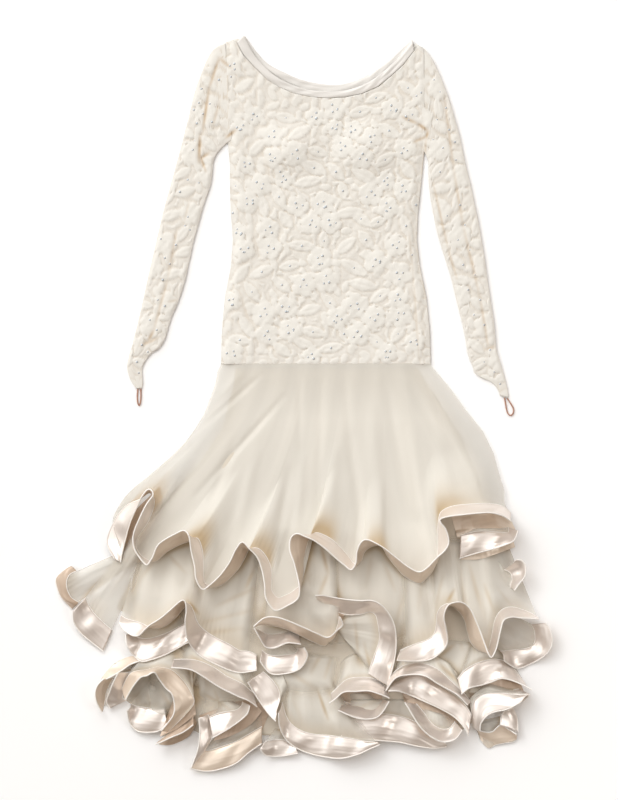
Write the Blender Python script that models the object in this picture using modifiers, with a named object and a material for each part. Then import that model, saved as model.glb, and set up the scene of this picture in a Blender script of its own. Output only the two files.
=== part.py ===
"""Ballroom dance dress, laid flat on its back, front up.

Metres, +Z up from the surface it lies on, +Y towards the neck. Places on the dress are read in pixels
of the photo and turned into metres by one scale, which comes from the real length of the dress.
"""
import math

import bmesh
import bpy
import numpy as np
from mathutils import Vector

# Driving sizes
MM = 0.001
DRESS_LENGTH = 1.325
DRESS_PIXELS = 736.0
PIXEL = DRESS_LENGTH / DRESS_PIXELS
CENTRE_PX = 304.3
CENTRE_PY = 403.5
SEAM_GAP = 0.3
CHIFFON_WALL = 1.0
BODICE_WALL = 1.3
SATIN_WALL = 1.1
BAND_WIDTH = 42.0
BODICE_INSIDE = 3.4
EDGE_ROLL = 9.0
RELIEF_HEIGHT = 2.0
CUP_HEIGHT = 8.0
SLEEVE_HEIGHT = 6.0
SLEEVE_WALL = 1.1
CUFF_HEIGHT = 3.4
NECK_BAND_HEIGHT = 2.4
LOOP_CORD = 2.6
WAIST_PY = 364.5
COLUMN_SPACING = 16.0
FIRST_COLUMNS = 86
FIRST_ROWS = 7
ROW_SPACING = 17.0
EDGE_PULL = 14
SWEEP = 1.5
FRONT_COLUMNS = 29
BACK_COLUMNS = 27
FLAT_STANCE = 0.32
BACK_BAND_WIDTH = 9.0
FRONT_BAND_ENDS = (236.5, 414.0)
BACK_BAND_ENDS = (243.0, 414.0)
SHOULDER_PY = 60.0

# Distances over which a sheet clears what lies under it, in pixels
SKIRT_REACH = 16.0
SEAM_REACH = 7.0
HALF_REACH = 4.0
HEM_REACH = 3.0

# Raised roses: spacing across and down, radius, swing of the petals, all in pixels
ROSE_ACROSS = 46.0
ROSE_DOWN = 40.0
ROSE_RADIUS = 15.0
PETAL_SWING = 4.0

# Soft cups of the front: middles across, middle down, half width and half height, in pixels
CUP_MIDDLES = (290.0, 366.0)
CUP_DOWN = 149.0
CUP_HALF_WIDTH = 37.0
CUP_HALF_HEIGHT = 33.0

# Colours, linear
CREAM = (0.86, 0.80, 0.70)
SATIN = (0.75, 0.67, 0.60)
CHIFFON = (0.76, 0.71, 0.61)
LOOP_BROWN = (0.45, 0.23, 0.16)
RAISED_ROUGHNESS = 0.85
SATIN_ROUGHNESS = 0.35
CHIFFON_ROUGHNESS = 0.75
LOOP_ROUGHNESS = 0.6

# Outline of the bodice: height in the photo, left edge, right edge
BODICE_SIDES = (
    (34, 226.0, 424.0),
    (142, 228.0, 425.0),
    (166, 230.0, 423.0),
    (192, 230.0, 420.5),
    (214, 231.0, 418.0),
    (240, 233.0, 417.0),
    (266, 231.0, 420.0),
    (297, 225.0, 426.5),
    (330, 222.0, 430.0),
    (368, 221.0, 431.0),
)

# Necklines and shoulders: place across, height in the photo
FRONT_NECK = (
    (222, 44), (232, 40), (237, 43), (243, 55), (254, 67), (267, 80), (279, 88), (293, 95), (310, 99),
    (328, 101), (345, 99), (362, 95), (378, 88), (391, 77), (403, 64), (411, 53), (415, 45), (428, 52),
)
FRONT_BAND_TOP = (
    (240, 38), (248, 50), (259, 60), (276, 73), (297, 84), (317, 89), (338, 90), (359, 86), (376, 77),
    (393, 63), (405, 50), (412, 40),
)
BACK_NECK = (
    (245, 36), (255, 50), (267, 63), (283, 72), (302, 80), (321, 84), (338, 85), (355, 81), (372, 73),
    (388, 62), (403, 48), (412, 40),
)

BACK_PANEL_TOP = (
    (222, 35), (236, 30), (240, 29), (245, 36), (255, 50), (267, 63), (283, 72), (302, 80), (321, 84),
    (338, 85), (355, 81), (372, 73), (388, 62), (403, 48), (412, 40), (415, 34), (428, 42),
)

# Sleeves from the armhole to the point of the hand cover: outer edge, inner edge
LEFT_SLEEVE = (
    (225.6, 43, 227.5, 140), (214, 49, 222, 143.5), (207, 60, 217.5, 147.5), (202, 72, 215, 151),
    (197.5, 84, 214, 155), (194, 95, 213.3, 161), (191.2, 106, 212.8, 168), (188.5, 118, 212, 177),
    (185, 131, 210.5, 185), (181.5, 145, 208, 193), (178, 158, 205, 201), (174.5, 171, 202, 211),
    (171, 184, 199, 222), (167, 198, 196, 233), (163, 213, 193, 244), (159.5, 228, 191, 254),
    (156, 243, 188.5, 265), (152.5, 258, 186, 277), (149, 273, 182, 291), (145.5, 289, 177, 305),
    (142, 305, 172, 316), (138.5, 320, 168.5, 327), (135, 334, 165.5, 337.5), (131.5, 347, 160, 347.5),
    (128.8, 357, 152, 353), (127.4, 364, 146, 360), (127.6, 371, 142.5, 368.5), (129.8, 378, 142.6, 376.5),
    (133, 384, 143, 383), (136.2, 388.6, 142, 388.4),
)
RIGHT_SLEEVE = (
    (424.4, 49, 425.5, 140), (433, 61, 427.6, 144), (440, 76, 428.2, 149), (446, 91, 428.5, 154),
    (451, 106, 428.6, 161), (455, 120, 428.6, 170), (458.5, 132, 428.8, 181), (461, 143, 430, 193),
    (463, 153, 432, 206), (465, 162, 434.5, 219), (467, 171, 437, 231), (469.3, 180, 440, 242),
    (471.5, 189, 443.5, 253), (474.5, 204, 447, 264), (478, 220, 450.5, 275), (481, 237, 453.5, 287),
    (484, 255, 456, 298), (486.5, 273, 458.7, 309), (489, 291, 461.5, 320), (491.7, 308, 464, 331),
    (494, 324, 466, 342), (495.3, 338, 467.5, 352), (496.5, 350, 470, 360), (499.5, 360, 473, 367),
    (502.5, 370, 475, 373), (505, 379, 482, 378), (507, 387, 491, 382), (508, 393, 497, 388),
    (508.2, 397.5, 500.5, 396),
)

# Finger loops, centre line of the elastic
LEFT_LOOP = ((137.8, 388.8), (137.3, 396.0), (137.7, 402.0), (139.2, 405.4), (140.5, 402.0), (140.9, 396.0),
             (140.8, 388.8))
RIGHT_LOOP = ((504.4, 397.6), (505.6, 404.0), (506.4, 409.0), (508.0, 413.6), (510.6, 415.4), (513.0, 413.4),
              (513.4, 409.0), (511.0, 404.0), (507.1, 398.3))

# Heap of the hidden layers: height in the photo, left edge, right edge, top in millimetres
HEAP = (
    (367.8, 236, 417, 4.0),
    (395, 232, 434, 7.0),
    (430, 222, 457, 10.0),
    (470, 194, 476, 14.0),
    (505, 163, 484, 18.0),
    (540, 146, 488, 20.0),
    (580, 132, 490, 20.0),
    (620, 134, 490, 18.0),
    (655, 150, 490, 15.0),
    (690, 148, 488, 11.0),
    (715, 162, 482, 8.0),
    (735, 205, 455, 5.0),
)
# Edge of the heap in layers: pixels in from the edge, share of the height
HEAP_EDGE = ((2.0, 0.0), (0.0, 0.1), (0.0, 0.2), (2.5, 0.27), (7.0, 0.34), (8.0, 0.56), (10.0, 0.63),
             (14.0, 0.7), (15.0, 0.9), (20.0, 1.0))

# Upper skirt layer
SKIRT_LEFT = ((221, 366), (218, 371), (216, 383), (211, 397), (204, 414), (195, 430), (187, 442), (175, 455),
              (161, 467), (148, 478), (136, 487), (126, 497), (117, 510), (109, 524), (104.5, 538), (106.5, 549),
              (111, 553.5))
SKIRT_RIGHT = ((431, 366), (450, 389), (465, 410), (482, 431), (493, 453), (501, 480), (507, 497), (511, 513))

# First hem. Columns: hem across, hem down, seam across, seam down, lift of the seam in mm, stance of the
# band, which is 1 where it stands up from its seam, 0 where it lies level and -1 where it hangs
FIRST_HEM = (
    (121, 561, 111, 553.5, 0, 0.1),
    (124, 545, 114.5, 541, 1, 0.5),
    (130, 525, 121, 526, 5, 0.8),
    (137, 508, 131, 511, 11, 1.0),
    (144, 495, 140.5, 499, 18, 1.0),
    (150, 489, 150, 493, 22, 1.0),
    (154, 494, 154, 499, 22, 1.0),
    (148, 503, 153.5, 509, 20, 1.0),
    (141, 516, 148, 522, 14, 1.0),
    (135.5, 529, 140, 533, 8, 1.0),
    (134, 539, 136, 542, 4, 1.0),
    (137, 551, 138.5, 551, 1, 1.0),
    (147, 564, 147, 559, 0, 1.0),
    (153, 558, 157, 561, 3, 1.0),
    (160, 543, 168, 551, 10, 1.0),
    (177, 533, 181, 544, 18, 1.0),
    (185, 530, 190, 541, 20, 1.0),
    (190, 536, 198, 538, 19, 1.0),
    (192, 550, 203, 550, 13, 1.0),
    (195, 565, 203.5, 564, 7, 1.0),
    (197, 578, 203.5, 576, 3, 1.0),
    (203, 588, 206, 583, 0, 1.0),
    (211, 584, 215, 587, 2, 1.0),
    (221, 574, 226, 582, 6, 1.0),
    (231, 560, 238, 569, 12, 1.0),
    (237, 548, 245, 558, 17, 1.0),
    (243, 541, 250, 549, 20, 1.0),
    (250, 548, 259, 548, 18, 1.0),
    (257, 556, 267, 557, 13, 1.0),
    (262, 569, 271, 569, 8, 1.0),
    (265, 583, 271.5, 581, 4, 1.0),
    (266, 597, 272, 590, 1, 1.0),
    (275, 609, 278, 597, 0, 1.0),
    (288, 604, 289, 593, 1, 1.0),
    (298, 597, 296, 588, 3, 1.0),
    (300, 587, 301.5, 583, 5, 1.0),
    (298, 575, 304, 572, 8, 1.0),
    (294, 561, 304, 560, 14, 1.0),
    (290, 549, 305.5, 550, 20, 1.0),
    (291, 538, 308, 541.5, 22, 1.0),
    (297, 533, 311, 536, 22, 1.0),
    (306, 536, 316, 532.5, 20, 1.0),
    (315, 540, 323, 534, 16, 1.0),
    (325, 548, 332, 539, 12, 1.0),
    (335, 557, 341, 548, 7, 1.0),
    (344, 564, 349, 557, 3, 1.0),
    (351, 569, 354, 563, 0, 1.0),
    (356, 562, 361, 561, 4, 1.0),
    (357, 550, 364, 553, 11, 1.0),
    (361, 541, 368, 548, 16, 1.0),
    (367, 539, 375, 545, 18, 1.0),
    (376, 543, 381, 546, 17, 1.0),
    (386, 549, 387, 556, 13, 1.0),
    (396, 557, 396, 567, 9, 1.0),
    (407, 566, 406, 577, 4, 1.0),
    (418, 571, 419, 583, 2, 1.0),
    (426, 567, 428, 576, 2, 1.0),
    (435, 558, 434.5, 566, 4, 1.0),
    (444, 550, 437.5, 554, 7, 1.0),
    (448, 541, 438, 543, 12, 1.0),
    (445, 529, 437.5, 531, 17, 1.0),
    (439, 520, 438, 519, 20, 1.0),
    (443, 517, 441, 511, 21, 1.0),
    (455, 515, 452, 506, 20, 1.0),
    (470, 513, 469, 504, 18, 1.0),
    (486, 512, 487, 503, 15, 1.0),
    (500, 515, 502, 506, 10, 1.0),
    (511, 521, 510.5, 513, 4, 0.9),
)

# Stretches of the flounces that show, in the order in which they lie on each other. Each has its name,
# whether its chiffon shows, the line that its cloth comes from, and rows with the columns of the first hem
STRETCHES = (
    ("third_far_left", False, ((150, 692), (148, 678)), (
        (102, 712, 104, 706, 0, 0.5),
        (97, 702, 105, 700, 1, 0.6),
        (95.5, 692, 106, 692, 2, 0.6),
        (98, 684, 109, 685, 2, 0.6),
        (104, 678, 113, 678, 2, 0.5),
    )),
    ("third_left", True, ((150, 655), (152, 690)), (
        (119, 672, 131, 672, 4, 0.7),
        (114, 681, 127, 682, 4, 0.6),
        (110, 691, 124, 690, 3, 0.4),
        (107, 701, 123, 697, 2, 0.1),
        (110, 708, 127, 700, 1, 0.0),
    )),
    ("third_ring_lip", False, ((147, 683), (162, 685)), (
        (127, 710, 131, 704, 0, 0.4),
        (130, 723, 137, 706, 0, 0.1),
        (138, 731, 144, 707, 0, 0.0),
        (151, 732, 151, 708, 0, 0.0),
        (160, 730, 158, 709, 0, 0.1),
        (167, 723, 165, 708, 0, 0.2),
    )),
    ("third_under_ring", False, ((178, 700), (190, 694)), (
        (156, 744, 162, 738, 0, 0.2),
        (163, 741, 169, 734, 0, 0.3),
        (173, 736, 178, 728, 0, 0.4),
        (184, 731, 187, 721, 0, 0.4),
        (194, 724, 194, 713, 0, 0.5),
    )),
    ("third_bottom_left", False, ((222, 716), (262, 712)), (
        (190, 768, 201, 750, 0, 0.4),
        (205, 771, 210, 750, 2, 0.0),
        (220, 769, 222, 746, 3, 0.0),
        (236, 763, 236, 741, 4, 0.0),
        (249, 752, 248, 734, 4, 0.0),
        (262, 743, 262, 726, 3, 0.0),
    )),
    ("third_wave_lip", False, ((215, 700), (235, 700)), (
        (213, 737, 209, 717, 0, 0.4),
        (222, 732, 218, 713, 0, 0.5),
        (231, 726, 227, 711, 0, 0.7),
        (241, 719, 237, 709, 0, 0.8),
        (248, 712, 242, 705, 0, 0.9),
        (250, 704, 243, 701, 0, 1.0),
    )),
    ("third_oval_lip", False, ((345, 692), (372, 692)), (
        (338, 709, 344, 701, 0, 0.6),
        (346, 713, 350, 703, 0, 0.7),
        (356, 717, 358, 704, 0, 0.7),
        (367, 718, 366, 705, 0, 0.7),
        (377, 716, 374, 704, 0, 0.8),
        (384, 709, 379, 702, 0, 0.9),
        (389, 700, 383, 699, 0, 1.0),
    )),
    ("third_long", False, ((345, 712), (425, 708)), (
        (341, 735, 342, 727, 0, 0.3),
        (360, 738, 360, 723, 0, 0.1),
        (380, 740, 381, 721, 0, 0.0),
        (400, 742, 401, 722, 0, 0.0),
        (418, 746, 417, 728, 0, 0.0),
        (434, 748, 431, 735, 0, 0.0),
        (447, 746.5, 442, 738, 0, 0.0),
    )),
    ("third_diagonal_lip", False, ((424, 708), (446, 714)), (
        (404, 701, 416, 703, 0, 0.8),
        (412, 714, 424, 713, 0, 0.8),
        (421, 727, 430, 721, 0, 0.7),
        (432, 737, 437, 727, 0, 0.6),
        (444, 741, 444, 729, 0, 0.5),
        (455, 738, 450, 727, 0, 0.6),
        (462, 729, 455, 721, 0, 0.8),
    )),
    ("third_right_lip", False, ((466, 694), (468, 684)), (
        (488, 710, 486, 696, 0, 0.2),
        (500, 709, 497, 694, 0, 0.2),
        (512, 705, 506, 692, 0, 0.3),
        (523, 700, 513, 690, 0, 0.5),
        (530, 694, 519, 689, 0, 0.7),
    )),
    ("third_right_end", False, ((463.5, 722), (464, 706)), (
        (487, 748, 488, 733, 1, 0.0),
        (498, 744, 497, 730, 2, 0.1),
        (508, 742.5, 505, 728, 2, 0.3),
        (516, 738, 506, 725, 3, 0.5),
        (516, 724, 505, 719, 4, 0.7),
        (512, 713, 502, 714, 4, 0.6),
    )),
    ("third_ring", True, ((140, 652), (158, 645), (180, 645), (197, 656)), (
        (128, 698, 131, 690, 2, 0.9),
        (134, 689, 136, 681, 4, 1.0),
        (140, 679, 143, 672, 8, 1.0),
        (148, 674, 151, 667, 10, 1.0),
        (155, 671, 160, 664, 11, 1.0),
        (160, 678, 170, 667, 10, 1.0),
        (165, 685, 178, 674, 8, 0.9),
        (172, 690, 184, 683, 6, 0.8),
        (175, 700, 189, 692, 4, 0.6),
        (172, 713, 191, 701, 2, 0.4),
    )),
    ("third_wave", True, ((186, 628), (215, 645), (240, 658)), (
        (172, 666, 174, 659, 4, 0.7),
        (190, 668, 194, 659, 6, 0.9),
        (205, 676, 212, 666, 6, 0.9),
        (222, 687, 228, 676, 5, 0.9),
        (238, 695, 242, 683, 4, 0.8),
        (249, 699.5, 248, 688, 2, 0.7),
    )),
    ("third_centre", True, ((290, 668), (308, 662), (326, 668)), (
        (278, 712, 282, 702, 1, 0.6),
        (279.5, 725, 286, 716, 1, 0.5),
        (286, 739, 293, 725, 1, 0.2),
        (297, 748, 303, 731, 1, 0.0),
        (312, 754, 315, 734, 1, 0.0),
        (328, 757, 329, 735, 1, 0.0),
        (342, 758, 340, 736, 0, 0.0),
    )),
    ("third_oval", True, ((338, 662), (355, 652), (372, 660)), (
        (329, 702, 331, 693, 3, 0.8),
        (336, 697, 339, 685, 5, 0.8),
        (344, 691, 347, 679, 7, 0.9),
        (356, 690, 358, 677, 8, 0.9),
        (368, 689.5, 370, 677, 8, 0.9),
        (379, 693, 379, 681, 6, 0.9),
        (389, 697, 386, 687, 3, 0.8),
    )),
    ("third_diagonal", True, ((398, 652), (425, 652), (450, 664), (462, 676)), (
        (388, 690, 396, 680, 3, 0.8),
        (398, 690, 407, 675, 5, 0.7),
        (410, 694.5, 420, 673, 5, 0.5),
        (425, 701, 434, 681, 5, 0.4),
        (440, 708, 446, 689, 4, 0.3),
        (455, 717, 458, 697, 3, 0.3),
        (464, 727, 467, 707, 1, 0.3),
        (468, 735, 471, 715, 0, 0.2),
    )),
    ("third_right_upper", True, ((470, 640), (488, 636), (500, 642)), (
        (461, 693, 457, 678, 1, 0.5),
        (469, 687, 465, 669, 4, 0.7),
        (482, 684, 478, 662, 6, 0.6),
        (492, 681, 491, 659, 6, 0.6),
        (501, 678, 502, 660, 5, 0.7),
        (512, 680, 511, 666, 4, 0.7),
        (522, 684, 519, 675, 2, 0.8),
        (531, 689, 525, 683, 0, 0.8),
    )),
    ("third_leaf", False, ((280, 664), (290, 690)), (
        (248, 681, 263, 671, 2, 0.8),
        (253, 690, 271, 678, 2, 0.7),
        (260, 701, 278, 688, 2, 0.5),
        (268, 712, 280, 698, 1, 0.4),
        (276, 720, 277, 708, 0, 0.3),
    )),
    ("second_far_left", True, ((144, 570), (144, 584)), (
        (70, 567, 77, 571, 10, -0.5),
        (62, 572, 70, 575, 14, -0.6),
        (56, 579, 67, 582, 16, -0.6),
        (58, 589, 68, 590, 14, -0.6),
        (63, 599, 72, 597, 10, -0.5),
        (72, 609, 79, 602, 6, -0.3),
    )),
    ("second_lower_left", False, ((150, 610), (180, 600)), (
        (126, 634, 135, 633, 0, 0.3),
        (128, 647, 138, 637, 0, 0.5),
        (140, 660, 145, 638, 0, 0.1),
        (152, 659, 154, 637, 0, 0.1),
        (168, 653, 168, 632, 0, 0.2),
        (186, 643, 183, 624, 0, 0.4),
    )),
    ("second_left", True, ((138, 557), (156, 563)), (
        (73, 611, 86, 597, 3, 0.0),
        (74, 622, 88, 603, 4, 0.0),
        (80, 632, 92, 610, 5, 0.0),
        (90, 641, 99, 618, 5, 0.0),
        (103, 651, 112, 630, 3, 0.0),
    )),
    ("second_centre_lip", False, ((266, 617), (299, 619)), (
        (254, 627, 263, 631, 0, 0.9),
        (260, 637, 265, 633, 0, 0.7),
        (266, 646, 269, 633, 0, 0.5),
        (276, 647, 278, 633, 0, 0.5),
        (288, 642, 290, 630, 0, 0.7),
        (301, 643, 299, 632, 0, 0.8),
    )),
    ("second_fold", True, ((328, 634), (330, 646), (335, 658), (346, 668)), (
        (346, 598.5, 348, 614, 9, 0.6),
        (360, 599.5, 361, 613, 10, 0.6),
        (371, 599, 369, 611, 10, 0.7),
        (380, 603, 375, 614, 9, 0.7),
        (388, 612, 377.5, 622, 8, 0.6),
        (394, 624, 379, 631, 6, 0.5),
        (396, 638, 379, 640, 4, 0.3),
        (395, 655, 374, 655, 2, 0.1),
        (391, 672, 370, 666, 1, 0.0),
        (387, 685, 368, 673, 0, 0.0),
    )),
    ("second_right_lip", False, ((474, 644), (473, 633), (474, 622)), (
        (503, 660, 500, 651, 0, 0.2),
        (517, 668, 509, 650, 1, -0.1),
        (530, 664, 521, 649, 2, -0.1),
        (541, 658, 530, 647, 3, 0.2),
        (549, 650, 534, 643, 4, 0.5),
        (552, 640, 535, 637, 5, 0.6),
        (550, 629, 534, 629, 5, 0.6),
        (545, 622.5, 531, 624, 4, 0.4),
    )),
    ("second_centre_left", True, ((150, 553), (190, 535), (215, 548), (245, 538), (266, 560)), (
        (119, 623, 121, 615, 2, 0.3),
        (126, 631, 128, 619, 2, 0.4),
        (138, 635, 140, 622, 2, 0.5),
        (151, 624, 155, 628, 4, 1.0),
        (160, 618, 165, 626, 8, 1.0),
        (171, 609, 176, 617, 14, 1.0),
        (184, 599, 188, 604, 18, 1.0),
        (187, 609, 193, 609, 16, 1.0),
        (186, 621, 196, 617, 11, 1.0),
        (188, 638, 200, 625, 6, 0.8),
        (197, 652, 208, 632, 3, 0.4),
        (211, 661, 218, 638, 2, 0.1),
        (228, 669, 230, 644, 2, 0.0),
        (240, 672, 240, 650, 2, 0.1),
        (250, 671, 250, 651, 2, 0.2),
    )),
    ("second_centre", True, ((270, 568), (300, 560), (340, 560)), (
        (254, 625, 260, 622, 4, 1.0),
        (264, 617, 267, 624, 7, 1.0),
        (276, 616, 277, 626, 9, 1.0),
        (290, 620, 290, 630, 9, 1.0),
        (303, 626, 303, 636, 8, 1.0),
        (316, 632, 314, 642, 6, 1.0),
        (328, 636, 325, 645, 4, 0.9),
        (337, 629, 333, 635, 6, 1.0),
        (343, 623, 338, 624, 9, 1.0),
        (340, 615, 339.5, 615, 12, 1.0),
    )),
    ("second_right", True, ((399, 572), (420, 566), (450, 562), (480, 562), (503, 560)), (
        (396, 659, 400, 650, 1, 0.9),
        (412, 660, 413, 644, 2, 0.6),
        (429, 659, 427, 639, 2, 0.4),
        (441, 651, 434, 633, 3, 0.6),
        (447, 641, 436, 624, 6, 0.8),
        (446, 628, 437, 614, 10, 1.0),
        (443, 615, 441, 606, 15, 1.0),
        (447, 604, 449, 603, 18, 1.0),
        (455, 601, 456, 609, 19, 1.0),
        (462, 602, 460, 613, 18, 1.0),
        (469, 608, 464, 621, 14, 1.0),
        (476, 622, 467, 632, 9, 1.0),
        (481, 636, 471, 643, 5, 1.0),
        (486, 650, 480, 651, 2, 1.0),
        (490, 656, 488, 650, 1, 1.0),
        (494, 650, 490, 642, 3, 1.0),
        (497, 640, 492, 631, 6, 1.0),
        (500, 628, 495, 618, 9, 1.0),
        (503, 619, 501, 610, 11, 1.0),
        (511, 616, 509, 607, 11, 1.0),
        (520, 617, 518, 608, 9, 1.0),
        (530, 618, 529, 612, 6, 0.9),
        (538, 619, 537, 617, 3, 0.7),
    )),
    ("first_lip", False, ((470, 528), (500, 528)), (
        (459, 558, 460, 535, 0, 0.0),
        (475, 553, 475, 531, 0, 0.1),
        (490, 549, 489, 531, 0, 0.4),
        (503, 545, 500, 532, 0, 0.6),
        (513, 540, 508, 532, 0, 0.8),
        (517, 530, 508, 527, 0, 0.9),
    )),
)


def place(px, py, up=0.0):
    """Point of the dress from its place in the photo and its height in millimetres."""
    return Vector(((px - CENTRE_PX) * PIXEL, (CENTRE_PY - py) * PIXEL, up * MM))


def mix(a, b, share):
    """Point or number between two others."""
    return a + (b - a) * share


def ease(value):
    """Smooth step from 0 to 1."""
    value = min(1.0, max(0.0, value))
    return value * value * (3.0 - 2.0 * value)


def curve_at(rows, t):
    """Smooth curve through the rows of a table, all columns together."""
    last = len(rows) - 1
    i = min(last - 1, max(0, int(t)))
    f = t - i
    before = rows[max(0, i - 1)]
    after = rows[min(last, i + 2)]
    result = []
    for a, b, c, d in zip(before, rows[i], rows[i + 1], after):
        result.append(b + 0.5 * f * (c - a + f * (2 * a - 5 * b + 4 * c - d + f * (3 * (b - c) + d - a))))
    return result


def spaced(rows, count, columns=(0, 1)):
    """Rows at equal steps along the curve that the named columns draw."""
    fine = 12
    steps = (len(rows) - 1) * fine
    points = [curve_at(rows, k / fine) for k in range(steps + 1)]
    travelled = [0.0]
    for k in range(steps):
        step = math.dist([points[k][c] for c in columns], [points[k + 1][c] for c in columns])
        travelled.append(travelled[-1] + step)
    result = []
    k = 0
    for n in range(count + 1):
        target = travelled[-1] * n / count
        while k < steps - 1 and travelled[k + 1] < target:
            k += 1
        span = max(1e-9, travelled[k + 1] - travelled[k])
        result.append(curve_at(rows, (k + (target - travelled[k]) / span) / fine))
    return result


def length_of(rows, columns=(0, 1)):
    """Length of the curve that the named columns draw, in the table's units."""
    points = [curve_at(rows, k / 8) for k in range((len(rows) - 1) * 8 + 1)]
    return sum(math.dist([a[c] for c in columns], [b[c] for c in columns]) for a, b in zip(points, points[1:]))


def table_at(rows, key, column):
    """Value of a column of a table, read along its first column."""
    for low, high in zip(rows, rows[1:]):
        if key <= high[0]:
            share = share_between(low[0], high[0], key)
            return mix(low[column], high[column], share)
    return rows[-1][column]


def share_between(low, high, key):
    """Share of the way from low to high, kept between 0 and 1."""
    return min(1.0, max(0.0, (key - low) / (high - low)))


def heap_top(px, py):
    """Height of the heap of hidden layers, softened at its edges, in millimetres."""
    inside = min(px - table_at(HEAP, py, 1), table_at(HEAP, py, 2) - px)
    below = HEAP[-1][0] + 8.0 - py
    return table_at(HEAP, py, 3) * ease((inside + 14.0) / 34.0) * ease(below / 14.0)


class Ground:
    """Heights of everything that already lies there, on a fine grid over the photo, in millimetres."""

    cell = 1.5

    def __init__(self):
        self.columns = 380
        self.rows = 300
        self.left = 20.0
        self.upper = 350.0
        self.top = np.zeros((self.rows, self.columns))
        for j in range(self.rows):
            for i in range(self.columns):
                self.top[j, i] = heap_top(self.left + i * self.cell, self.upper + j * self.cell)

    def near(self, px, py, reach):
        """Highest place within reach."""
        i = (px - self.left) / self.cell
        j = (py - self.upper) / self.cell
        span = reach / self.cell
        rows = slice(max(0, int(j - span)), max(1, int(j + span) + 2))
        columns = slice(max(0, int(i - span)), max(1, int(i + span) + 2))
        return float(self.top[rows, columns].max())

    def cover(self, grid):
        """Raises the ground to a sheet, given as rows of places with heights."""
        for upper, lower in zip(grid, grid[1:]):
            for corners in zip(upper, upper[1:], lower, lower[1:]):
                a, b, c, d = (np.array(corner) for corner in corners)
                size = max(np.abs(a - d)[:2].max(), np.abs(b - c)[:2].max())
                steps = int(size / self.cell) + 2
                across = np.linspace(0.0, 1.0, steps)[:, None, None]
                down = np.linspace(0.0, 1.0, steps)[None, :, None]
                points = (a * (1 - across) + b * across) * (1 - down) + (c * (1 - across) + d * across) * down
                i = ((points[..., 0] - self.left) / self.cell).round().astype(int).clip(0, self.columns - 1)
                j = ((points[..., 1] - self.upper) / self.cell).round().astype(int).clip(0, self.rows - 1)
                np.maximum.at(self.top, (j, i), points[..., 2])


def material(name, colour, roughness):
    """Plain coloured material."""
    made = bpy.data.materials.new(name)
    made.use_nodes = True
    shader = made.node_tree.nodes["Principled BSDF"]
    shader.inputs["Base Color"].default_value = (*colour, 1.0)
    shader.inputs["Roughness"].default_value = roughness
    shader.inputs["Metallic"].default_value = 0.0
    return made


def new_object(name, mesh, colour, roughness, collection):
    """Object of the dress with its own material."""
    made = bpy.data.objects.new(name, mesh)
    mesh.materials.append(material(name + "_cloth", colour, roughness))
    collection.objects.link(made)
    mesh.shade_smooth()
    mesh.set_sharp_from_angle(angle=math.radians(50))
    return made


def mesh_from(name, points, faces):
    """Mesh from points and faces, with its faces turned the same way round."""
    mesh = bpy.data.meshes.new(name)
    mesh.from_pydata([tuple(point) for point in points], [], faces)
    return mesh


def face_outwards(mesh):
    """Turns the faces of a closed mesh outwards."""
    made = bmesh.new()
    made.from_mesh(mesh)
    bmesh.ops.recalc_face_normals(made, faces=made.faces)
    made.to_mesh(mesh)
    made.free()


def grid_faces(rows, columns, closed=False, start=0, flip=False):
    """Quads of a grid whose points run along its rows."""
    faces = []
    across = columns if closed else columns - 1
    for v in range(rows - 1):
        for u in range(across):
            a = start + v * columns + u
            b = start + v * columns + (u + 1) % columns
            face = (a, a + columns, b + columns, b)
            faces.append(face[::-1] if flip else face)
    return faces


def sheet(name, grid, thickness, colour, roughness, collection):
    """Cloth wall that grows inwards from a grid of its outer points."""
    points = [point for row in grid for point in row]
    mesh = mesh_from(name, points, grid_faces(len(grid), len(grid[0])))
    made = new_object(name, mesh, colour, roughness, collection)
    wall = made.modifiers.new("wall", "SOLIDIFY")
    wall.thickness = thickness * MM
    wall.offset = -1.0
    wall.use_even_offset = False
    return made


def flower_relief(px, py):
    """Raised roses with five petals and a leaf between them, 0 to 1, in staggered rows."""
    height = 0.0
    row = math.floor(py / ROSE_DOWN)
    for r in (row - 1, row, row + 1):
        column = math.floor(px / ROSE_ACROSS - 0.5 * (r % 2))
        for c in (column - 1, column, column + 1):
            turn = math.sin(7.3 * r + 4.1 * c) * 1.6
            x = (c + 0.5 + 0.5 * (r % 2)) * ROSE_ACROSS + 5.0 * math.sin(3.1 * r + 5.7 * c)
            y = (r + 0.5) * ROSE_DOWN + 4.0 * math.sin(6.1 * r + 2.3 * c)
            far = math.hypot(px - x, py - y)
            angle = math.atan2(py - y, px - x) + turn
            petal = ROSE_RADIUS + PETAL_SWING * math.cos(5.0 * angle)
            ring = ease((petal - far) / 5.0)
            hollow = 0.55 * ease(1.0 - far / 6.0)
            height = max(height, ring - hollow)
    return height


def bodice_edges(py):
    """Left and right edge of the bodice at a height in the photo."""
    return table_at(BODICE_SIDES, py, 1), table_at(BODICE_SIDES, py, 2)


def line_at(rows, px):
    """Height in the photo of an outline that runs across."""
    return table_at(rows, px, 1)


def panel_grid(top_line, extra, columns, rows):
    """Places on a bodice panel, row by row from its top line down to the waist seam."""
    grid = []
    for v in range(rows):
        row = []
        for u in range(columns):
            share = u / (columns - 1)
            top = line_at(top_line, mix(*bodice_edges(SHOULDER_PY), share)) + extra
            py = mix(top, WAIST_PY, v / (rows - 1))
            row.append((mix(*bodice_edges(py), share), py))
        grid.append(row)
    return grid


def cups(px, py):
    """Soft cups sewn into the front, 0 to 1."""
    height = 0.0
    for x in CUP_MIDDLES:
        far = math.hypot((px - x) / CUP_HALF_WIDTH, (py - CUP_DOWN) / CUP_HALF_HEIGHT)
        height = max(height, ease(1.0 - far) ** 0.8)
    return height


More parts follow.
